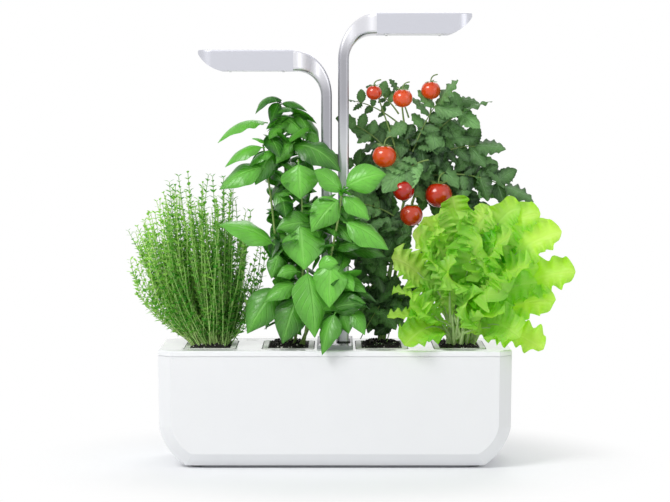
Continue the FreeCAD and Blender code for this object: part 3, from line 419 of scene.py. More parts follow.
class Growth:
    """Gathers sheets and tubes, in millimetres, into one mesh. Each point carries how far
    it lies along its leaf, how far across, and how light the leaf is painted, as painted light and
    shade."""

    def __init__(self):
        self.points = []
        self.faces = []
        self.marks = []

    def sheet(self, rows, marks, closed=False):
        """Adds a sheet through rows of points; closed joins the ends of each row."""
        first = len(self.points)
        width = len(rows[0])
        for row, row_marks in zip(rows, marks):
            self.points += row
            self.marks += row_marks
        for i in range(len(rows) - 1):
            for j in range(width if closed else width - 1):
                k = (j + 1) % width
                a, b = first + i * width, first + (i + 1) * width
                self.faces.append((a + j, a + k, b + k, b + j))

    def tube(self, path, start, end, shade=0.5, sides=6):
        """Adds a stem along a path that thins from one radius to the other."""
        rows, marks = [], []
        for i, point in enumerate(path):
            ahead = path[min(i + 1, len(path) - 1)] - path[max(i - 1, 0)]
            side = ahead.cross(Vector((0.3, 1, 0.2))).normalized()
            other = ahead.cross(side).normalized()
            u = i / (len(path) - 1)
            radius = start + (end - start) * u
            row = []
            for k in range(sides):
                angle = 2 * math.pi * k / sides
                row.append(point + radius * (math.cos(angle) * side + math.sin(angle) * other))
            rows.append(row)
            marks.append([(u, 0.5, shade)] * sides)
        self.sheet(rows, marks, closed=True)

    def finish(self, name, material, plant):
        """Makes the mesh and sets it on the plant's cartridge."""
        mesh = bpy.data.meshes.new(name)
        mesh.from_pydata([p * 0.001 for p in self.points], [], self.faces)
        mesh.polygons.foreach_set("use_smooth", [True] * len(self.faces))
        marks = mesh.attributes.new("leaf", "FLOAT_VECTOR", "POINT")
        marks.data.foreach_set("vector", [c for mark in self.marks for c in mark])
        mesh.materials.append(material)
        made = bpy.data.objects.new(name, mesh)
        bpy.context.scene.collection.objects.link(made)
        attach(made, plant + "_cartridge")
        return made


def ball(growth, middle, size, seed, rough=0.25, around=8, up=5):
    """A lump: a ball squeezed and dented by noise. Size is its three half widths."""
    rows, marks = [], []
    for i in range(up + 1):
        lift = math.pi * i / up
        row = []
        for j in range(around):
            turn = 2 * math.pi * j / around
            way = Vector(
                (math.sin(lift) * math.cos(turn), math.sin(lift) * math.sin(turn), math.cos(lift))
            )
            swell = 1 + rough * noise.noise(way * 1.7 + Vector((seed, 0, 0)))
            row.append(middle + Vector(w * s * swell for w, s in zip(way, size)))
        rows.append(row)
        marks.append([(i / up, 0.5, 0.5)] * around)
    growth.sheet(rows, marks, closed=True)


def make_soil(plant, seed):
    """The heaped soil of one cartridge, its crumbs and its grains."""
    rng = random.Random(seed)
    low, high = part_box(plant + "_soil")
    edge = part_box(plant + "_tray")[1].z - SOIL_BELOW_COLLAR
    width, depth = high.x - low.x, high.y - low.y
    across, along = int(width / SOIL_CELL), int(depth / SOIL_CELL)

    def height(x, y):
        """The soil's surface: a low mound with fine lumps, flat at the collar."""
        rim = min(x - low.x, high.x - x, y - low.y, high.y - y)
        mound = MOUND_HEIGHT * min(1, max(0, rim) / MOUND_SLOPE) ** 0.7
        here = Vector((x, y, seed * 0.37))
        lumps = 0.0016 * noise.noise(here * 150) + 0.0011 * noise.noise(here * 420)
        return edge + mound + lumps * min(1, max(0, rim) / LOOSE_MARGIN)

    heap = Growth()
    rows, marks = [], []
    for i in range(along + 1):
        y = low.y + depth * i / along
        row = [Vector((low.x, y, edge - SOIL_SIDE)) * 1000]
        for j in range(across + 1):
            x = low.x + width * j / across
            row.append(Vector((x, y, height(x, y))) * 1000)
        row.append(Vector((high.x, y, edge - SOIL_SIDE)) * 1000)
        rows.append(row)
        marks.append([(0.5, 0.5, 0.5)] * len(row))
    ends = [[Vector((p.x, p.y, (edge - SOIL_SIDE) * 1000)) for p in row] for row in (rows[0], rows[-1])]
    heap.sheet([ends[0]] + rows + [ends[1]], [marks[0]] + marks + [marks[0]])
    grains = Growth()
    for growth, count, least, most in ((heap, CRUMBS, 0.8, 2.2), (grains, GRAINS, 0.6, 1.5)):
        for _ in range(count):
            x = rng.uniform(low.x + LOOSE_MARGIN, high.x - LOOSE_MARGIN)
            y = rng.uniform(low.y + LOOSE_MARGIN, high.y - LOOSE_MARGIN)
            size = [rng.uniform(least, most) for _ in range(3)]
            middle = Vector((x, y, height(x, y) + 0.0003)) * 1000
            ball(growth, middle, size, rng.uniform(0, 50), rough=0.6, around=7, up=4)
    mound = heap.finish(plant + "_heap", soil_black, plant)
    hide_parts(plant + "_soil")
    white = grains.finish(plant + "_grains", grain_white, plant)


for number, plant in enumerate(PLANTS):
    make_soil(plant, number + 1)


# Basil: a tall plant at the back left and bushy shoots that lean in front of the masts.
# The leaves are broad, pointed and domed, glossy, with sunken veins.
def make_leaf_group():
    """The skin of a leaf: colour by lightness, which paints light and shade on the leaf, lighter
    down the middle and darker at the edges as painted sheen and shade, veins in colour and
    height, small blisters.
    """
    group, start, end = group_nodes(
        "leaf_skin",
        (
            ("Dark", "COLOR"),
            ("Light", "COLOR"),
            ("Vein", "COLOR"),
            ("Veins", "VALUE", 7.0),
            ("Slant", "VALUE", 0.35),
            ("Vein Strength", "VALUE", 0.5),
            ("Blister Scale", "VALUE", 260.0),
            ("Blister Height", "VALUE", 0.4),
            ("Middle", "VALUE", 0.0),
            ("Roughness", "VALUE", 0.4),
        ),
        (("Colour", "COLOR"), ("Height", "VALUE"), ("Roughness", "VALUE")),
    )

    def do(operation, *values):
        return add_sum(group, operation, *values)

    mark = add_node(group, "Attribute", {"attribute_name": "leaf"}).outputs["Vector"]
    along, across, light = add_node(group, "SeparateXYZ", Vector=mark).outputs
    aside = do("ABSOLUTE", across)
    midrib = smooth_step(group, aside, 0.02, 0.1, 1, 0)
    lead = do("SUBTRACT", along, do("MULTIPLY", aside, start.outputs["Slant"]))
    phase = do("FRACT", do("MULTIPLY", lead, start.outputs["Veins"]))
    off_vein = do("ABSOLUTE", do("SUBTRACT", phase, 0.5))
    side_vein = do("MULTIPLY", smooth_step(group, off_vein, 0.38, 0.5), 0.6)
    vein = do("MAXIMUM", midrib, side_vein)
    place = add_node(group, "TexCoord").outputs["Object"]
    cloud = add_node(group, "TexNoise", Vector=place, Scale=55, Detail=3).outputs["Fac"]
    drift = do("MULTIPLY", do("SUBTRACT", cloud, 0.5), 0.55)
    # Painted sheen and shade: by the Middle share, lighter near the midrib and darker at the edges.
    middle = do("MULTIPLY", do("SUBTRACT", 0.45, aside), start.outputs["Middle"])
    level = do("ADD", do("ADD", light, drift), middle)
    level.node.use_clamp = True
    body = mix_colours(group, level, start.outputs["Dark"], start.outputs["Light"])
    shown = do("MULTIPLY", vein, start.outputs["Vein Strength"])
    blister = add_node(
        group, "TexVoronoi", {"feature": "SMOOTH_F1"}, Vector=place, Scale=start.outputs["Blister Scale"]
    )
    bulge = do("MULTIPLY", blister.outputs["Distance"], start.outputs["Blister Height"])
    height = do("SUBTRACT", do("SUBTRACT", 1.0, bulge), vein)
    rough = do("ADD", start.outputs["Roughness"], do("MULTIPLY", vein, 0.12))
    colour = mix_colours(group, shown, body, start.outputs["Vein"])
    for label, result in (("Colour", colour), ("Height", height), ("Roughness", rough)):
        group.links.new(result, end.inputs[label])
    return group


leaf_skin = make_leaf_group()


def leaf_material(name, dark, light, vein, glow, through=0.3, bump=0.6, coat=0.0, **settings):
    """A leaf finish. Glow is the colour of light that comes through, and through its share."""
    dark, light, vein, glow = (tone(*sample) for sample in (dark, light, vein, glow))
    material, skin, shader = skin_material(
        name, leaf_skin, dark=dark, light=light, vein=vein, **settings
    )
    tree = material.node_tree
    shader.inputs["Coat Weight"].default_value = coat
    shader.inputs["Coat Roughness"].default_value = 0.3
    height = skin.outputs["Height"]
    relief = add_node(tree, "Bump", Strength=bump, Distance=0.0008, Height=height)
    tree.links.new(relief.outputs["Normal"], shader.inputs["Normal"])
    show_mix(tree, through, shader, add_node(tree, "BsdfTranslucent", Color=glow))
    return material


def curve_points(start, bend, end, count):
    """Points along a curve that leaves start towards bend and comes into end from it."""
    found = []
    for i in range(count):
        t = i / (count - 1)
        found.append(start * (1 - t) ** 2 + bend * (2 * t * (1 - t)) + end * t**2)
    return found


def pointed(u):
    """A basil leaf's half width along its length: broad near the base, drawn to a point."""
    return max(0.02, math.sin(math.pi * min(1, u) ** 0.82) ** 0.8 * (1 - 0.25 * u**6))


def blade(
    growth, base, bend, tip, width, facing, shape, shade,
    cells=(14, 6), cup=-0.2, ruffle=0, waves=4, phase=0, twist=0,
):
    """Adds one leaf. Its spine runs from base to tip by way of bend, and its upper side
    turns to facing. Cup lifts the edges, ruffle waves them, and twist turns the tip."""
    lengthwise, crosswise = cells
    spine = curve_points(base, bend, tip, lengthwise + 1)
    rows, marks = [], []
    for i, point in enumerate(spine):
        u = i / lengthwise
        ahead = spine[min(i + 1, lengthwise)] - spine[max(i - 1, 0)]
        turned = Matrix.Rotation(twist * u, 3, ahead) @ facing
        side = ahead.cross(turned).normalized()
        normal = side.cross(ahead).normalized()
        half = width / 2 * shape(u)
        row, row_marks = [], []
        for j in range(crosswise + 1):
            v = 2 * j / crosswise - 1
            wave = math.sin(2 * math.pi * waves * u + phase + (1.3 if v > 0 else 0))
            lift = cup * v * v + ruffle * wave * abs(v) ** 2.2
            row.append(point + side * (v * half) + normal * (lift * half))
            row_marks.append((u, v, shade))
        rows.append(row)
        marks.append(row_marks)
    growth.sheet(rows, marks)


def towards(direction, wanted):
    """The direction across a spine that lies nearest to the wanted one."""
    along = direction.normalized()
    return (wanted - along * wanted.dot(along)).normalized()


def scattered(rng, middle, spread):
    """A random place in a zone, most often near its middle."""
    off = Vector((rng.gauss(0, 0.5), rng.gauss(0, 0.5), rng.gauss(0, 0.5)))
    off.length = min(off.length, 1)
    return Vector(m + o * s for m, o, s in zip(middle, off, spread))


def is_clear(points, rooms):
    """Whether no point lies in a room, each given by its lowest and highest corner."""
    return not any(
        all(a < c < b for a, c, b in zip(low, point, high)) for point in points for low, high in rooms
    )


# Rooms that loose leaves stay out of, where masts, lamps and lifted trays pass: the
# lowest and the highest corner of each.
MAST_ROOM = ((-21, -24, 140), (21, 24, 600))
LEFT_LAMP_ROOM = ((-180, -49, 458), (-19, 49, 600))
TOMATO_TRAY_ROOM = ((21, -70, 140), (95, 52, 192))
THYME_ROOM = ((-260, -50, 140), (-88, 60, 470))
LID_ROOM = ((-230, -84, 100), (230, 90, 160))
MAST_FOOT_ROOM = ((-32, -28, 100), (32, 28, 200))
BASIL_KEEPS_OUT = (
    MAST_ROOM, MAST_FOOT_ROOM, LEFT_LAMP_ROOM, TOMATO_TRAY_ROOM, THYME_ROOM, LID_ROOM
)
TO_VIEWER = Vector((0, -1, 0.1))
UPWARDS = Vector((-0.15, -0.35, 1))

# Each basil leaf that shows: base, tip, seen width, arch and lightness, which paints light and shade on
# it.
BASIL_LEAVES = (
    ((-88, -20, 430), (-146, -52, 404), 11, 0.22, 0.75),
    ((-91, -50, 399), (-137, -52, 374), 15, 0.22, 0.7),
    ((-86, -30, 405), (-103, -52, 409), 7, 0.1, 0.9),
    ((-70, -10, 456), (-99, -52, 440), 11, 0.3, 0.15),
    ((-70, -14, 454), (-81, -22, 428), 17, 0.15, 0.1),
    ((-67, -12, 453), (-35, -14, 443), 11, 0.25, 0.2),
    ((-70, -16, 438), (-35, -24, 407), 21, 0.2, 0.6),
    ((-41, 8, 435), (-20, 12, 394), 17, 0.15, 0.2),
    ((-20, 30, 397), (4, 26, 379), 14, 0.1, 0.7),
    ((-53, -34, 401), (7, -46, 368), 25, 0.2, 0.25),
    ((-53, -36, 403), (-73, -44, 378), 19, 0.15, 0.6),
    ((-77, -38, 395), (-107, -52, 375), 11, 0.15, 0.7),
    ((-91, -50, 373), (-144, -52, 346), 27, 0.15, 0.6),
    ((-77, -34, 393), (-99, -52, 352), 30, 0.15, 0.2),
    ((-45, -64, 378), (-43, -74, 335), 42, 0.12, 0.7),
    ((8, -78, 344), (-26, -84, 371), 22, 0.15, 0.75),
    ((14, -78, 351), (63, -82, 366), 33, 0.15, 0.8),
    ((4, -78, 334), (-29, -86, 295), 33, 0.15, 0.75),
    ((10, -78, 339), (42, -86, 310), 20, 0.12, 0.8),
    ((14, -76, 306), (66, -84, 273), 27, 0.12, 0.8),
    ((-78, -60, 280), (-144, -72, 303), 27, 0.15, 0.75),
    ((-28, -66, 303), (-72, -76, 298), 27, 0.2, 0.45),
    ((-43, -72, 302), (-38, -84, 248), 47, 0.1, 0.7),
    ((-70, -58, 265), (-79, -66, 236), 19, 0.12, 0.4),
    ((-46, -66, 245), (-72, -72, 239), 16, 0.2, 0.7),
    ((-48, -66, 227), (-88, -76, 207), 20, 0.2, 0.6),
    ((-74, -56, 222), (-109, -70, 168), 37, 0.12, 0.4),
    ((-48, -64, 210), (-65, -76, 156), 37, 0.12, 0.3),
    ((-34, -80, 244), (-25, -92, 165), 33, 0.14, 0.65),
    ((-6, -78, 258), (-7, -90, 202), 37, 0.12, 0.85),
    ((7, -74, 241), (23, -80, 221), 16, 0.12, 0.9),
    ((-4, -70, 198), (38, -78, 206), 25, 0.12, 0.35),
    ((9, -66, 195), (17, -74, 168), 19, 0.12, 0.5),
    ((-1, -86, 193), (-16, -98, 144), 24, 0.15, 0.45),
    ((-20, -78, 250), (4, -84, 256), 17, 0.3, 0.9),
)
# Each stem: its foot, its bend, its tip and its radius.
BASIL_STEMS = (
    ((-62, -12, 148), (-52, -30, 300), (-70, -14, 452), 2.6),
    ((-66, -20, 148), (-70, -40, 280), (-90, -32, 402), 2.2),
    ((-52, -26, 148), (-30, -60, 250), (-46, -62, 384), 2.0),
    ((-44, -34, 148), (-4, -76, 240), (9, -76, 346), 2.4),
    ((-40, -34, 148), (-30, -66, 200), (-34, -74, 250), 2.0),
    ((-56, 2, 148), (-40, 10, 320), (-40, 8, 436), 2.0),
)
BASIL_PLUMPNESS = 1.15
BASIL_SEED = 11
BUD_PLACE = Vector((10, -78, 344))
BUD_LEAVES = 9
BASIL_FILL_LENGTH = (24, 44)
# The zones where leaves darkened as painted shade fill the plant's inside: middle, half widths and
# count.
BASIL_FILLS = (
    ((-58, -20, 410), (34, 14, 38), 64),
    ((-78, -26, 340), (52, 18, 40), 90),
    ((-66, -26, 270), (40, 22, 44), 90),
    ((-66, -26, 200), (36, 24, 36), 70),
    ((-6, -56, 300), (40, 10, 46), 70),
    ((4, -54, 205), (40, 12, 40), 60),
)


def make_basil():
    """The basil: the leaves that show, the ones inside darkened as painted shade, the stems and a fresh
    bud.
    """
    rng = random.Random(BASIL_SEED)
    leaves, wood = Growth(), Growth()
    for base, tip, seen, arch, shade in BASIL_LEAVES:
        base, tip = Vector(base), Vector(tip)
        chord = tip - base
        length = chord.length
        flat = towards(chord, TO_VIEWER)
        seen *= BASIL_PLUMPNESS
        real = max(seen, length * 0.6)
        roll = math.acos(min(1, seen / real))
        facings = [Matrix.Rotation(roll * sign, 3, chord) @ flat for sign in (1, -1)]
        facing = max(facings, key=lambda way: way.z)
        bend = (base + tip) / 2 + (facing * 0.6 + Vector((0, 0, 1))) * (arch * length)
        stalk = base + (base - bend).normalized() * 4
        leaves.tube(curve_points(stalk, base, base + chord * 0.08, 4), 0.9, 0.7, shade, 5)
        blade(
            leaves, base, bend, tip, real, facing, pointed, shade,
            cup=rng.uniform(-0.5, -0.3), twist=rng.uniform(-0.35, 0.35),
            ruffle=0.07, waves=rng.uniform(2, 3.5), phase=rng.uniform(0, 6), cells=(18, 8),
        )
    for middle, spread, count in BASIL_FILLS:
        for _ in range(count):
            base = scattered(rng, middle, spread)
            turn = rng.uniform(0, 2 * math.pi)
            length = rng.uniform(*BASIL_FILL_LENGTH)
            drop = rng.uniform(-0.9, 0.25)
            chord = Vector((math.cos(turn) * 0.8, math.sin(turn) * 0.6, drop)).normalized() * length
            tip = base + chord
            bend = base + chord * 0.5 + Vector((0, 0, 0.2 * length))
            facing = towards(chord, Vector((rng.uniform(-0.6, 0.6), rng.uniform(-1, 0.2), 0.9)))
            if not is_clear((base, bend, tip), BASIL_KEEPS_OUT):
                continue
            # Painted shade: the leaves inside are kept darker than those that show.
            shade = rng.uniform(0.05, 0.65)
            blade(leaves, base, bend, tip, length * 0.58, facing, pointed, shade, cells=(10, 4))
    for start, bend, end, radius in BASIL_STEMS:
        path = curve_points(Vector(start), Vector(bend), Vector(end), 18)
        wood.tube(path, radius, radius * 0.5, 0.6, 8)
    for _ in range(BUD_LEAVES):
        way = Vector((rng.gauss(0, 1), rng.gauss(-0.6, 0.6), rng.gauss(0.6, 0.8))).normalized()
        tip = BUD_PLACE + way * rng.uniform(7, 13)
        facing = towards(way, UPWARDS)
        blade(leaves, BUD_PLACE, BUD_PLACE + way * 5, tip, 7, facing, pointed, 0.95, cup=0.5)
    leafy = leaves.finish("basil_leaves", basil_green, "basil")
    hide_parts("basil_plant")
    wood.finish("basil_stems", stem_green, "basil")


basil_green = leaf_material(
    "basil_green",
    (12, 66, 10), (128, 222, 78), (156, 228, 112), (80, 190, 20),
    through=0.2,
    bump=0.9,
    coat=0.25,
    middle=0.35,
    veins=6.0,
    slant=0.42,
    vein_strength=0.35,
    blister_scale=240.0,
    blister_height=0.5,
    roughness=0.33,
)
stem_green = leaf_material(
    "stem_green",
    (90, 120, 50), (160, 190, 110), (150, 180, 100), (140, 180, 70),
    through=0.1,
    vein_strength=0.0,
    roughness=0.5,
)
make_basil()

# Thyme: a round bush of wiry stems that fan out of the soil, with tiny blunt leaves in
# pairs. Every ninth stem is a dark sprig that sticks out of the bush.
THYME_SEED = 23
THYME_STEMS = 360
THYME_FOOT = (-156, -9, 149)
THYME_FOOT_SPREAD = (17, 26)
THYME_MIDDLE = Vector((-174, 3, 252))
THYME_REACH = Vector((83, 46, 101))
THYME_STEP = 6.5
THYME_LEAF = (5.5, 9.5)
SPRIG_EVERY = 9


def narrow(u):
    """A small leaf's half width: blunt, widest in the middle."""
    return max(0.05, math.sin(math.pi * u) ** 0.7)


def make_thyme():
    """The thyme: each stem with its pairs of leaves, painted lighter at the left and at the top,
    where the light falls, and darker inside the bush, as painted light and shade.
    """
    rng = random.Random(THYME_SEED)
    leaves, wood = Growth(), Growth()
    for number in range(THYME_STEMS):
        turn = rng.uniform(0, 2 * math.pi)
        rise = rng.uniform(-0.55, 1)
        flat = math.sqrt(max(0, 1 - rise * rise))
        sprig = number % SPRIG_EVERY == 0
        reach = rng.uniform(1.05, 1.17) if sprig else 1.04 * rng.uniform(0.12, 1) ** 0.35
        way = Vector((math.cos(turn) * flat, math.sin(turn) * flat, rise))
        tip = THYME_MIDDLE + Vector(w * r * reach for w, r in zip(way, THYME_REACH))
        foot_x = THYME_FOOT[0] + THYME_FOOT_SPREAD[0] * way.x + rng.gauss(0, 5)
        foot_y = THYME_FOOT[1] + THYME_FOOT_SPREAD[1] * way.y + rng.gauss(0, 5)
        base = Vector((foot_x, foot_y, THYME_FOOT[2]))
        out = tip - base
        swing = rng.uniform(0.55, 0.95)
        bend = base + Vector((out.x * swing, out.y * swing, out.z * rng.uniform(0.35, 0.5)))
        bend += Vector((rng.gauss(0, 7), rng.gauss(0, 7), 0))
        length = (tip - base).length
        path = curve_points(base, bend, tip, 16)
        # Painted light: stems that reach left and up are lighter, where the lamp falls on the bush.
        light = 0.45 - 0.35 * way.x + 0.25 * way.z + rng.gauss(0, 0.15)
        light = 0 if sprig else max(0.05, min(1, light))
        wood.tube(path, 0.7, 0.45, 0.3 + 0.7 * light, 4)
        pairs = int(length / THYME_STEP)
        for k in range(int(pairs * 0.22), pairs + 1):
            t = k / pairs
            point = base * (1 - t) ** 2 + bend * (2 * t * (1 - t)) + tip * t**2
            ahead = ((bend - base) * (1 - t) + (tip - bend) * t).normalized()
            side = ahead.cross(Vector((0.2, 0.9, 0.4))).normalized()
            side = Matrix.Rotation(k * math.pi / 2 + rng.gauss(0, 0.4), 3, ahead) @ side
            size = rng.uniform(*THYME_LEAF) * (0.8 if t > 0.95 else 1)
            for sign in (-1, 1):
                out = (side * sign + ahead * rng.uniform(0.3, 0.9)).normalized()
                end = point + out * size
                bow = point + out * size * 0.5 + ahead * 0.8
                # Painted shade: leaves near a stem's foot, deep in the bush, are darker than those near
                # its tip.
                shade = max(0, min(1, light + rng.gauss(0, 0.18) + 0.25 * (t - 0.6)))
                facing = towards(out, ahead + UPWARDS * 0.3)
                blade(leaves, point, bow, end, size * 0.5, facing, narrow, shade, (3, 2), 0.2)
    leafy = leaves.finish("thyme_leaves", thyme_green, "thyme")
    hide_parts("thyme_plant")
    wood.finish("thyme_stems", thyme_wood, "thyme")


thyme_green = leaf_material(
    "thyme_green",
    (62, 150, 46), (206, 255, 130), (206, 255, 130), (140, 220, 60),
    through=0.25,
    vein_strength=0.0,
    roughness=0.6,
)
thyme_wood = leaf_material(
    "thyme_wood",
    (118, 180, 76), (220, 250, 160), (200, 212, 130), (160, 170, 80),
    through=0.1,
    vein_strength=0.0,
    roughness=0.6,
)
make_thyme()

# Tomato: a dwarf bush on thin pale stems, with drooping leaves of seven crinkled, toothed
# leaflets, dark green, and seven small ripe fruits with a green star on top.
RIGHT_LAMP_ROOM = ((0, -49, 486), (180, 49, 600))
LETTUCE_TRAY_ROOM = ((115, -70, 140), (195, 52, 280))
TOMATO_KEEPS_OUT = (MAST_ROOM, MAST_FOOT_ROOM, RIGHT_LAMP_ROOM, LETTUCE_TRAY_ROOM, LID_ROOM)
TOMATO_SEED = 37
TOMATO_FILL_LENGTH = (20, 36)
TOMATO_STEMS = (
    ((58, 18, 148), (70, 24, 260), (100, 20, 380), 3.0),
    ((62, 24, 148), (80, 30, 280), (122, 24, 400), 2.6),
    ((100, 20, 380), (86, 22, 420), (84, 20, 470), 1.8),
    ((110, 20, 380), (120, 24, 420), (124, 14, 468), 1.7),
    ((92, 20, 350), (70, 22, 420), (50, 6, 474), 1.5),
    ((56, 20, 148), (60, 10, 220), (84, 8, 300), 2.0),
)
# Each leaf: where it leaves the stem, its tip, the length of its leaflets, its lightness, which paints
# light and shade on it.
TOMATO_LEAVES = (
    ((83, 24, 375), (27, 28, 425), 28, 0.5),
    ((90, 24, 420), (27, 28, 456), 20, 0.3),
    ((81, 20, 440), (56, 14, 466), 20, 0.3),
    ((94, 24, 435), (80, 22, 468), 20, 0.3),
    ((99, 14, 392), (129, 4, 453), 42, 0.55),
    ((109, 22, 394), (163, 10, 443), 40, 0.45),
    ((114, 26, 379), (178, 20, 399), 40, 0.35),
    ((122, 24, 361), (216, 16, 348), 42, 0.25),
    ((118, -4, 382), (87, -16, 367), 40, 0.7),
    ((86, 26, 330), (24, 30, 374), 34, 0.3),
    ((78, 16, 308), (30, 6, 326), 34, 0.6),
    ((86, 8, 267), (30, -4, 253), 42, 0.2),
    ((78, 10, 245), (40, 2, 215), 38, 0.2),
    ((73, 0, 215), (32, -16, 156), 36, 0.55),
    ((85, 2, 205), (65, -12, 150), 38, 0.25),
    ((122, 20, 343), (175, 20, 313), 40, 0.2),
    ((104, 20, 300), (118, 26, 286), 34, 0.15),
    ((135, 26, 394), (155, 30, 460), 34, 0.4),
    ((94, 24, 343), (73, 30, 394), 38, 0.25),
    ((89, 20, 280), (58, 14, 298), 38, 0.2),
    ((99, 28, 362), (53, 34, 407), 36, 0.3),
    ((106, 14, 324), (80, 4, 291), 36, 0.2),
    ((88, 16, 235), (108, 8, 204), 34, 0.2),
)
# The zones that more leaflets fill: middle, half widths, count, least and most lightness, which paint
# light and shade on them.
TOMATO_FILLS = (
    ((118, 22, 405), (40, 14, 38), 52, 0.1, 0.85),
    ((152, 30, 364), (54, 12, 30), 48, 0.1, 0.6),
    ((104, 20, 372), (34, 14, 20), 22, 0.3, 0.8),
    ((48, 28, 350), (26, 12, 40), 50, 0.1, 0.7),
    ((54, 12, 285), (36, 14, 44), 64, 0.05, 0.6),
    ((56, 4, 205), (34, 12, 34), 50, 0.05, 0.6),
)
# Each fruit: its middle, its radius, and how ripe it is.
TOMATO_FRUIT = (
    ((49, -8, 467), 10.0, 0.55),
    ((85, -10, 460), 12.6, 0.2),
    ((121, 2, 470), 12.4, 0.35),
    ((62, -16, 387), 15.2, 0.3),
    ((86, -16, 344), 13.8, 0.95),
    ((131, 0, 338), 17.2, 0.75),
    ((96, -20, 313), 14.5, 0.6),
)
FRUIT_RINGS = 16
FRUIT_SIDES = 24
FRUIT_SEPALS = 5


def toothed(u):
    """A tomato leaflet's half width: oval, with a few deep teeth."""
    return max(0.03, math.sin(math.pi * u**0.75) ** 0.7 * (1 + 0.07 * math.sin(2 * math.pi * 7.5 * u)))


def make_tomato():
    """The tomato: leaves with their leaflets, loose leaflets inside, stems and fruits."""
    rng = random.Random(TOMATO_SEED)
    leaves, wood, fruit = Growth(), Growth(), Growth()

    def leaflet(base, way, size, shade):
        """One leaflet, left out where it would be in the way."""
        tip = base + way * size
        bend = base + way * size * 0.5 + Vector((0, 0, size * 0.14))
        wanted = Vector((rng.gauss(0, 0.35), -0.8 + rng.gauss(0, 0.3), 0.7))
        if not is_clear((base, bend, tip), TOMATO_KEEPS_OUT):
            return
        blade(
            leaves, base, bend, tip, size * 0.72, towards(way, wanted), toothed, shade,
            cup=rng.uniform(-0.35, 0.1), ruffle=rng.uniform(0.12, 0.25),
            waves=rng.uniform(3, 5), phase=rng.uniform(0, 6), cells=(18, 8),
        )

    for base, tip, size, shade in TOMATO_LEAVES:
        base, tip = Vector(base), Vector(tip)
        chord = tip - base
        bend = base + chord * 0.5 + Vector((0, 0, 0.16 * chord.length))
        path = curve_points(base, bend, tip, 10)
        wood.tube(path, 1.2, 0.6, 0.5, 5)
        side = chord.cross(Vector((0, -1, 0.3))).normalized()
        for step, share in ((4, 0.62), (6, 0.8), (8, 0.95)):
            for sign in (-1, 1):
                way = side * sign * 0.9 + chord.normalized() * 0.55 + Vector((0, -0.15, -0.35))
                light = max(0, min(1, shade + rng.gauss(0, 0.14)))
                leaflet(path[step], way.normalized(), size * share * rng.uniform(0.75, 1), light)
        leaflet(path[-1], (chord.normalized() + Vector((0, -0.1, -0.4))).normalized(), size, shade)
    for middle, spread, count, least, most in TOMATO_FILLS:
        for _ in range(count):
            base = scattered(rng, middle, spread)
            way = Vector((rng.gauss(0, 0.6), rng.gauss(-0.2, 0.4), rng.gauss(-0.7, 0.5))).normalized()
            leaflet(base, way, rng.uniform(*TOMATO_FILL_LENGTH), rng.uniform(least, most))
    for start, bend, end, radius in TOMATO_STEMS:
        path = curve_points(Vector(start), Vector(bend), Vector(end), 16)
        wood.tube(path, radius, radius * 0.5, 0.5, 8)
    for middle, radius, ripe in TOMATO_FRUIT:
        middle = Vector(middle)
        rows, marks = [], []
        for i in range(FRUIT_RINGS + 1):
            lift = math.pi * i / FRUIT_RINGS
            dimple = 0.13 * math.exp(-((lift / 0.35) ** 2))
            row = []
            for j in range(FRUIT_SIDES):
                turn = 2 * math.pi * j / FRUIT_SIDES
                swell = radius * (1 + 0.012 * math.cos(5 * turn))
                x, y = swell * math.sin(lift) * math.cos(turn), swell * math.sin(lift) * math.sin(turn)
                row.append(middle + Vector((x, y, radius * (0.94 * math.cos(lift) - dimple))))
            rows.append(row)
            marks.append([(i / FRUIT_RINGS, 0.5, ripe)] * FRUIT_SIDES)
        fruit.sheet(rows, marks, closed=True)
        crown = middle + Vector((0, 0, radius * 0.82))
        for k in range(FRUIT_SEPALS):
            turn = 2 * math.pi * k / FRUIT_SEPALS + rng.uniform(-0.2, 0.2)
            way = Vector((math.cos(turn), math.sin(turn), 0))
            tip = crown + way * radius * 0.72 + Vector((0, 0, rng.uniform(-0.05, 0.3) * radius))
            bend = crown + way * radius * 0.4 + Vector((0, 0, radius * 0.12))
            blade(wood, crown, bend, tip, radius * 0.3, UPWARDS, narrow, 0.4, cells=(5, 2))
        bend = crown + Vector((0, 4, radius * 0.7))
        stalk = curve_points(crown, bend, crown + Vector((9, 15, radius * 0.8)), 8)
        wood.tube(stalk, 0.9, 0.9, 0.5, 5)
    leafy = leaves.finish("tomato_leaves", tomato_green, "tomato")
    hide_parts("tomato_plant")
    wood.finish("tomato_stems", stem_green, "tomato")
    fruit.finish("tomato_fruit", tomato_red, "tomato")


def fruit_material(name, unripe, ripe):
    """A tomato's glossy skin, from orange to deep red by the mark of its ripeness."""
    material = bpy.data.materials.new(name)
    material.use_nodes = True
    tree = material.node_tree
    mark = add_node(tree, "Attribute", {"attribute_name": "leaf"}).outputs["Vector"]
    ripeness = add_node(tree, "SeparateXYZ", Vector=mark).outputs["Z"]
    place = add_node(tree, "TexCoord").outputs["Object"]
    cloud = add_node(tree, "TexNoise", Vector=place, Scale=45).outputs["Fac"]
    level = add_sum(tree, "ADD", ripeness, add_sum(tree, "MULTIPLY_ADD", cloud, 0.5, -0.25))
    level.node.use_clamp = True
    shader = tree.nodes["Principled BSDF"]
    shader.inputs["Roughness"].default_value = 0.22
    shader.inputs["Coat Weight"].default_value = 0.5
    shader.inputs["Coat Roughness"].default_value = 0.1
    tree.links.new(mix_colours(tree, level, unripe, ripe), shader.inputs["Base Color"])
    return material


tomato_green = leaf_material(
    "tomato_green",
    (16, 52, 18), (140, 198, 118), (150, 190, 144), (90, 150, 50),
    through=0.14,
    bump=1.0,
    middle=0.3,
    veins=5.0,
    slant=0.5,
    vein_strength=0.3,
    blister_scale=320.0,
    blister_height=0.9,
    roughness=0.55,
)
tomato_red = fruit_material("tomato_red", tone(236, 84, 6), tone(176, 14, 6))
make_tomato()

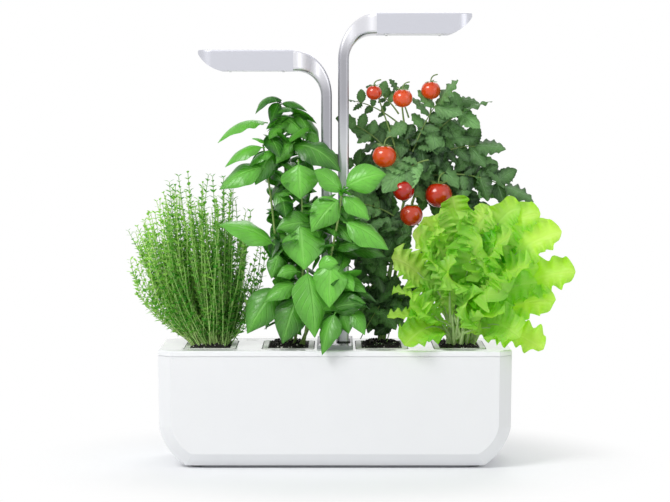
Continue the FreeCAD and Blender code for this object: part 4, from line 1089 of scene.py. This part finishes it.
# Lettuce: a loose head of thin, bright leaves on pale ribs, lobed and frilled at the edge.
# It leans out over the tank's right front corner.
LETTUCE_SEED = 41
LETTUCE_HEART = Vector((156, -26, 150))
# The half ball that the unseen leaves fill: its middle, its three reaches and their count.
LETTUCE_MIDDLE = (188, -50, 205)
LETTUCE_REACH = (88, 28, 98)
LETTUCE_FILLS = 34
LETTUCE_FILL_WIDTH = (26, 38)
RIB_RADII = (2.6, 0.7)
# Each leaf: its tip, its width and its lightness, which paints light and shade on it.
LETTUCE_LEAVES = (
    ((70, -70, 262), 46, 0.8),
    ((78, -84, 221), 48, 0.75),
    ((65, -88, 189), 30, 0.7),
    ((85, -100, 156), 44, 0.35),
    ((126, -50, 306), 44, 0.95),
    ((147, -30, 337), 40, 0.45),
    ((168, -24, 316), 34, 0.4),
    ((232, -44, 322), 40, 0.75),
    ((256, -50, 316), 44, 0.6),
    ((282, -58, 294), 46, 0.85),
    ((299, -62, 244), 48, 0.6),
    ((274, -70, 210), 44, 0.6),
    ((258, -80, 149), 50, 0.7),
    ((228, -92, 165), 46, 0.6),
    ((193, -98, 190), 48, 0.65),
    ((164, -98, 212), 50, 0.5),
    ((139, -96, 247), 50, 0.6),
    ((182, -80, 285), 54, 0.5),
    ((216, -84, 290), 52, 0.7),
    ((238, -92, 251), 54, 0.65),
    ((203, -100, 237), 52, 0.55),
    ((158, -66, 289), 46, 0.4),
    ((118, -80, 258), 44, 0.6),
    ((96, -62, 290), 40, 0.9),
    ((110, -54, 312), 34, 0.85),
    ((148, -46, 322), 40, 0.7),
    ((196, -50, 318), 42, 0.9),
    ((92, -92, 204), 38, 0.5),
    ((106, -60, 284), 38, 0.7),
)


def lobed(u):
    """A lettuce leaf's half width: a narrow rib that opens into broad uneven lobes."""
    open_out = min(1, max(0, (u - 0.22) / 0.4)) ** 1.3
    end = math.sqrt(max(0, 1 - max(0, (u - 0.72) / 0.28) ** 2))
    return max(0.03, (0.1 + 0.9 * open_out) * end * (1 + 0.18 * math.sin(2 * math.pi * 4.6 * u)))


def make_lettuce():
    """The lettuce: the leaves that show, then more of them that fill the head."""
    rng = random.Random(LETTUCE_SEED)
    leaves, wood = Growth(), Growth()

    def frill(tip, width, shade):
        """One leaf from the heart to its tip, with its rib."""
        base = LETTUCE_HEART + Vector((rng.gauss(0, 8), rng.gauss(0, 6), 0))
        chord = tip - base
        height = max(chord.z * rng.uniform(0.84, 1.02), 48)
        bend = base + Vector((chord.x * 0.35, chord.y * 0.35, height))
        facing = Vector((rng.gauss(0, 0.3), -0.9 + rng.gauss(0, 0.25), 0.5 + rng.gauss(0, 0.2)))
        blade(
            leaves, base, bend, tip, width * 1.05, facing, lobed, shade,
            cup=rng.uniform(-0.1, 0.45), ruffle=rng.uniform(0.22, 0.42), waves=rng.uniform(9, 15),
            phase=rng.uniform(0, 6), cells=(72, 14), twist=rng.uniform(-0.6, 0.6),
        )
        wood.tube(curve_points(base, bend, tip, 16)[:11], *RIB_RADII, 0.8, 6)

    for tip, width, shade in LETTUCE_LEAVES:
        frill(Vector(tip), width, shade)
    for _ in range(LETTUCE_FILLS):
        turn = rng.uniform(0, 2 * math.pi)
        rise = rng.uniform(0.1, 1)
        flat = math.sqrt(1 - rise * rise)
        way = (flat * math.cos(turn), flat * math.sin(turn), rise)
        tip = Vector(m + r * w for m, r, w in zip(LETTUCE_MIDDLE, LETTUCE_REACH, way))
        # A random lightness, as painted light and shade.
        frill(tip, rng.uniform(*LETTUCE_FILL_WIDTH), rng.uniform(0.1, 0.95))
    leafy = leaves.finish("lettuce_leaves", lettuce_green, "lettuce")
    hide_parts("lettuce_plant")
    wood.finish("lettuce_ribs", rib_pale, "lettuce")


lettuce_green = leaf_material(
    "lettuce_green",
    (84, 190, 4), (228, 255, 130), (232, 252, 160), (180, 246, 20),
    through=0.42,
    bump=0.6,
    middle=0.3,
    veins=7.0,
    slant=0.6,
    vein_strength=0.3,
    blister_scale=200.0,
    blister_height=0.4,
    roughness=0.42,
)
rib_pale = leaf_material(
    "rib_pale",
    (150, 200, 90), (216, 234, 176), (210, 230, 170), (190, 220, 120),
    through=0.25,
    vein_strength=0.0,
    roughness=0.4,
)
make_lettuce()
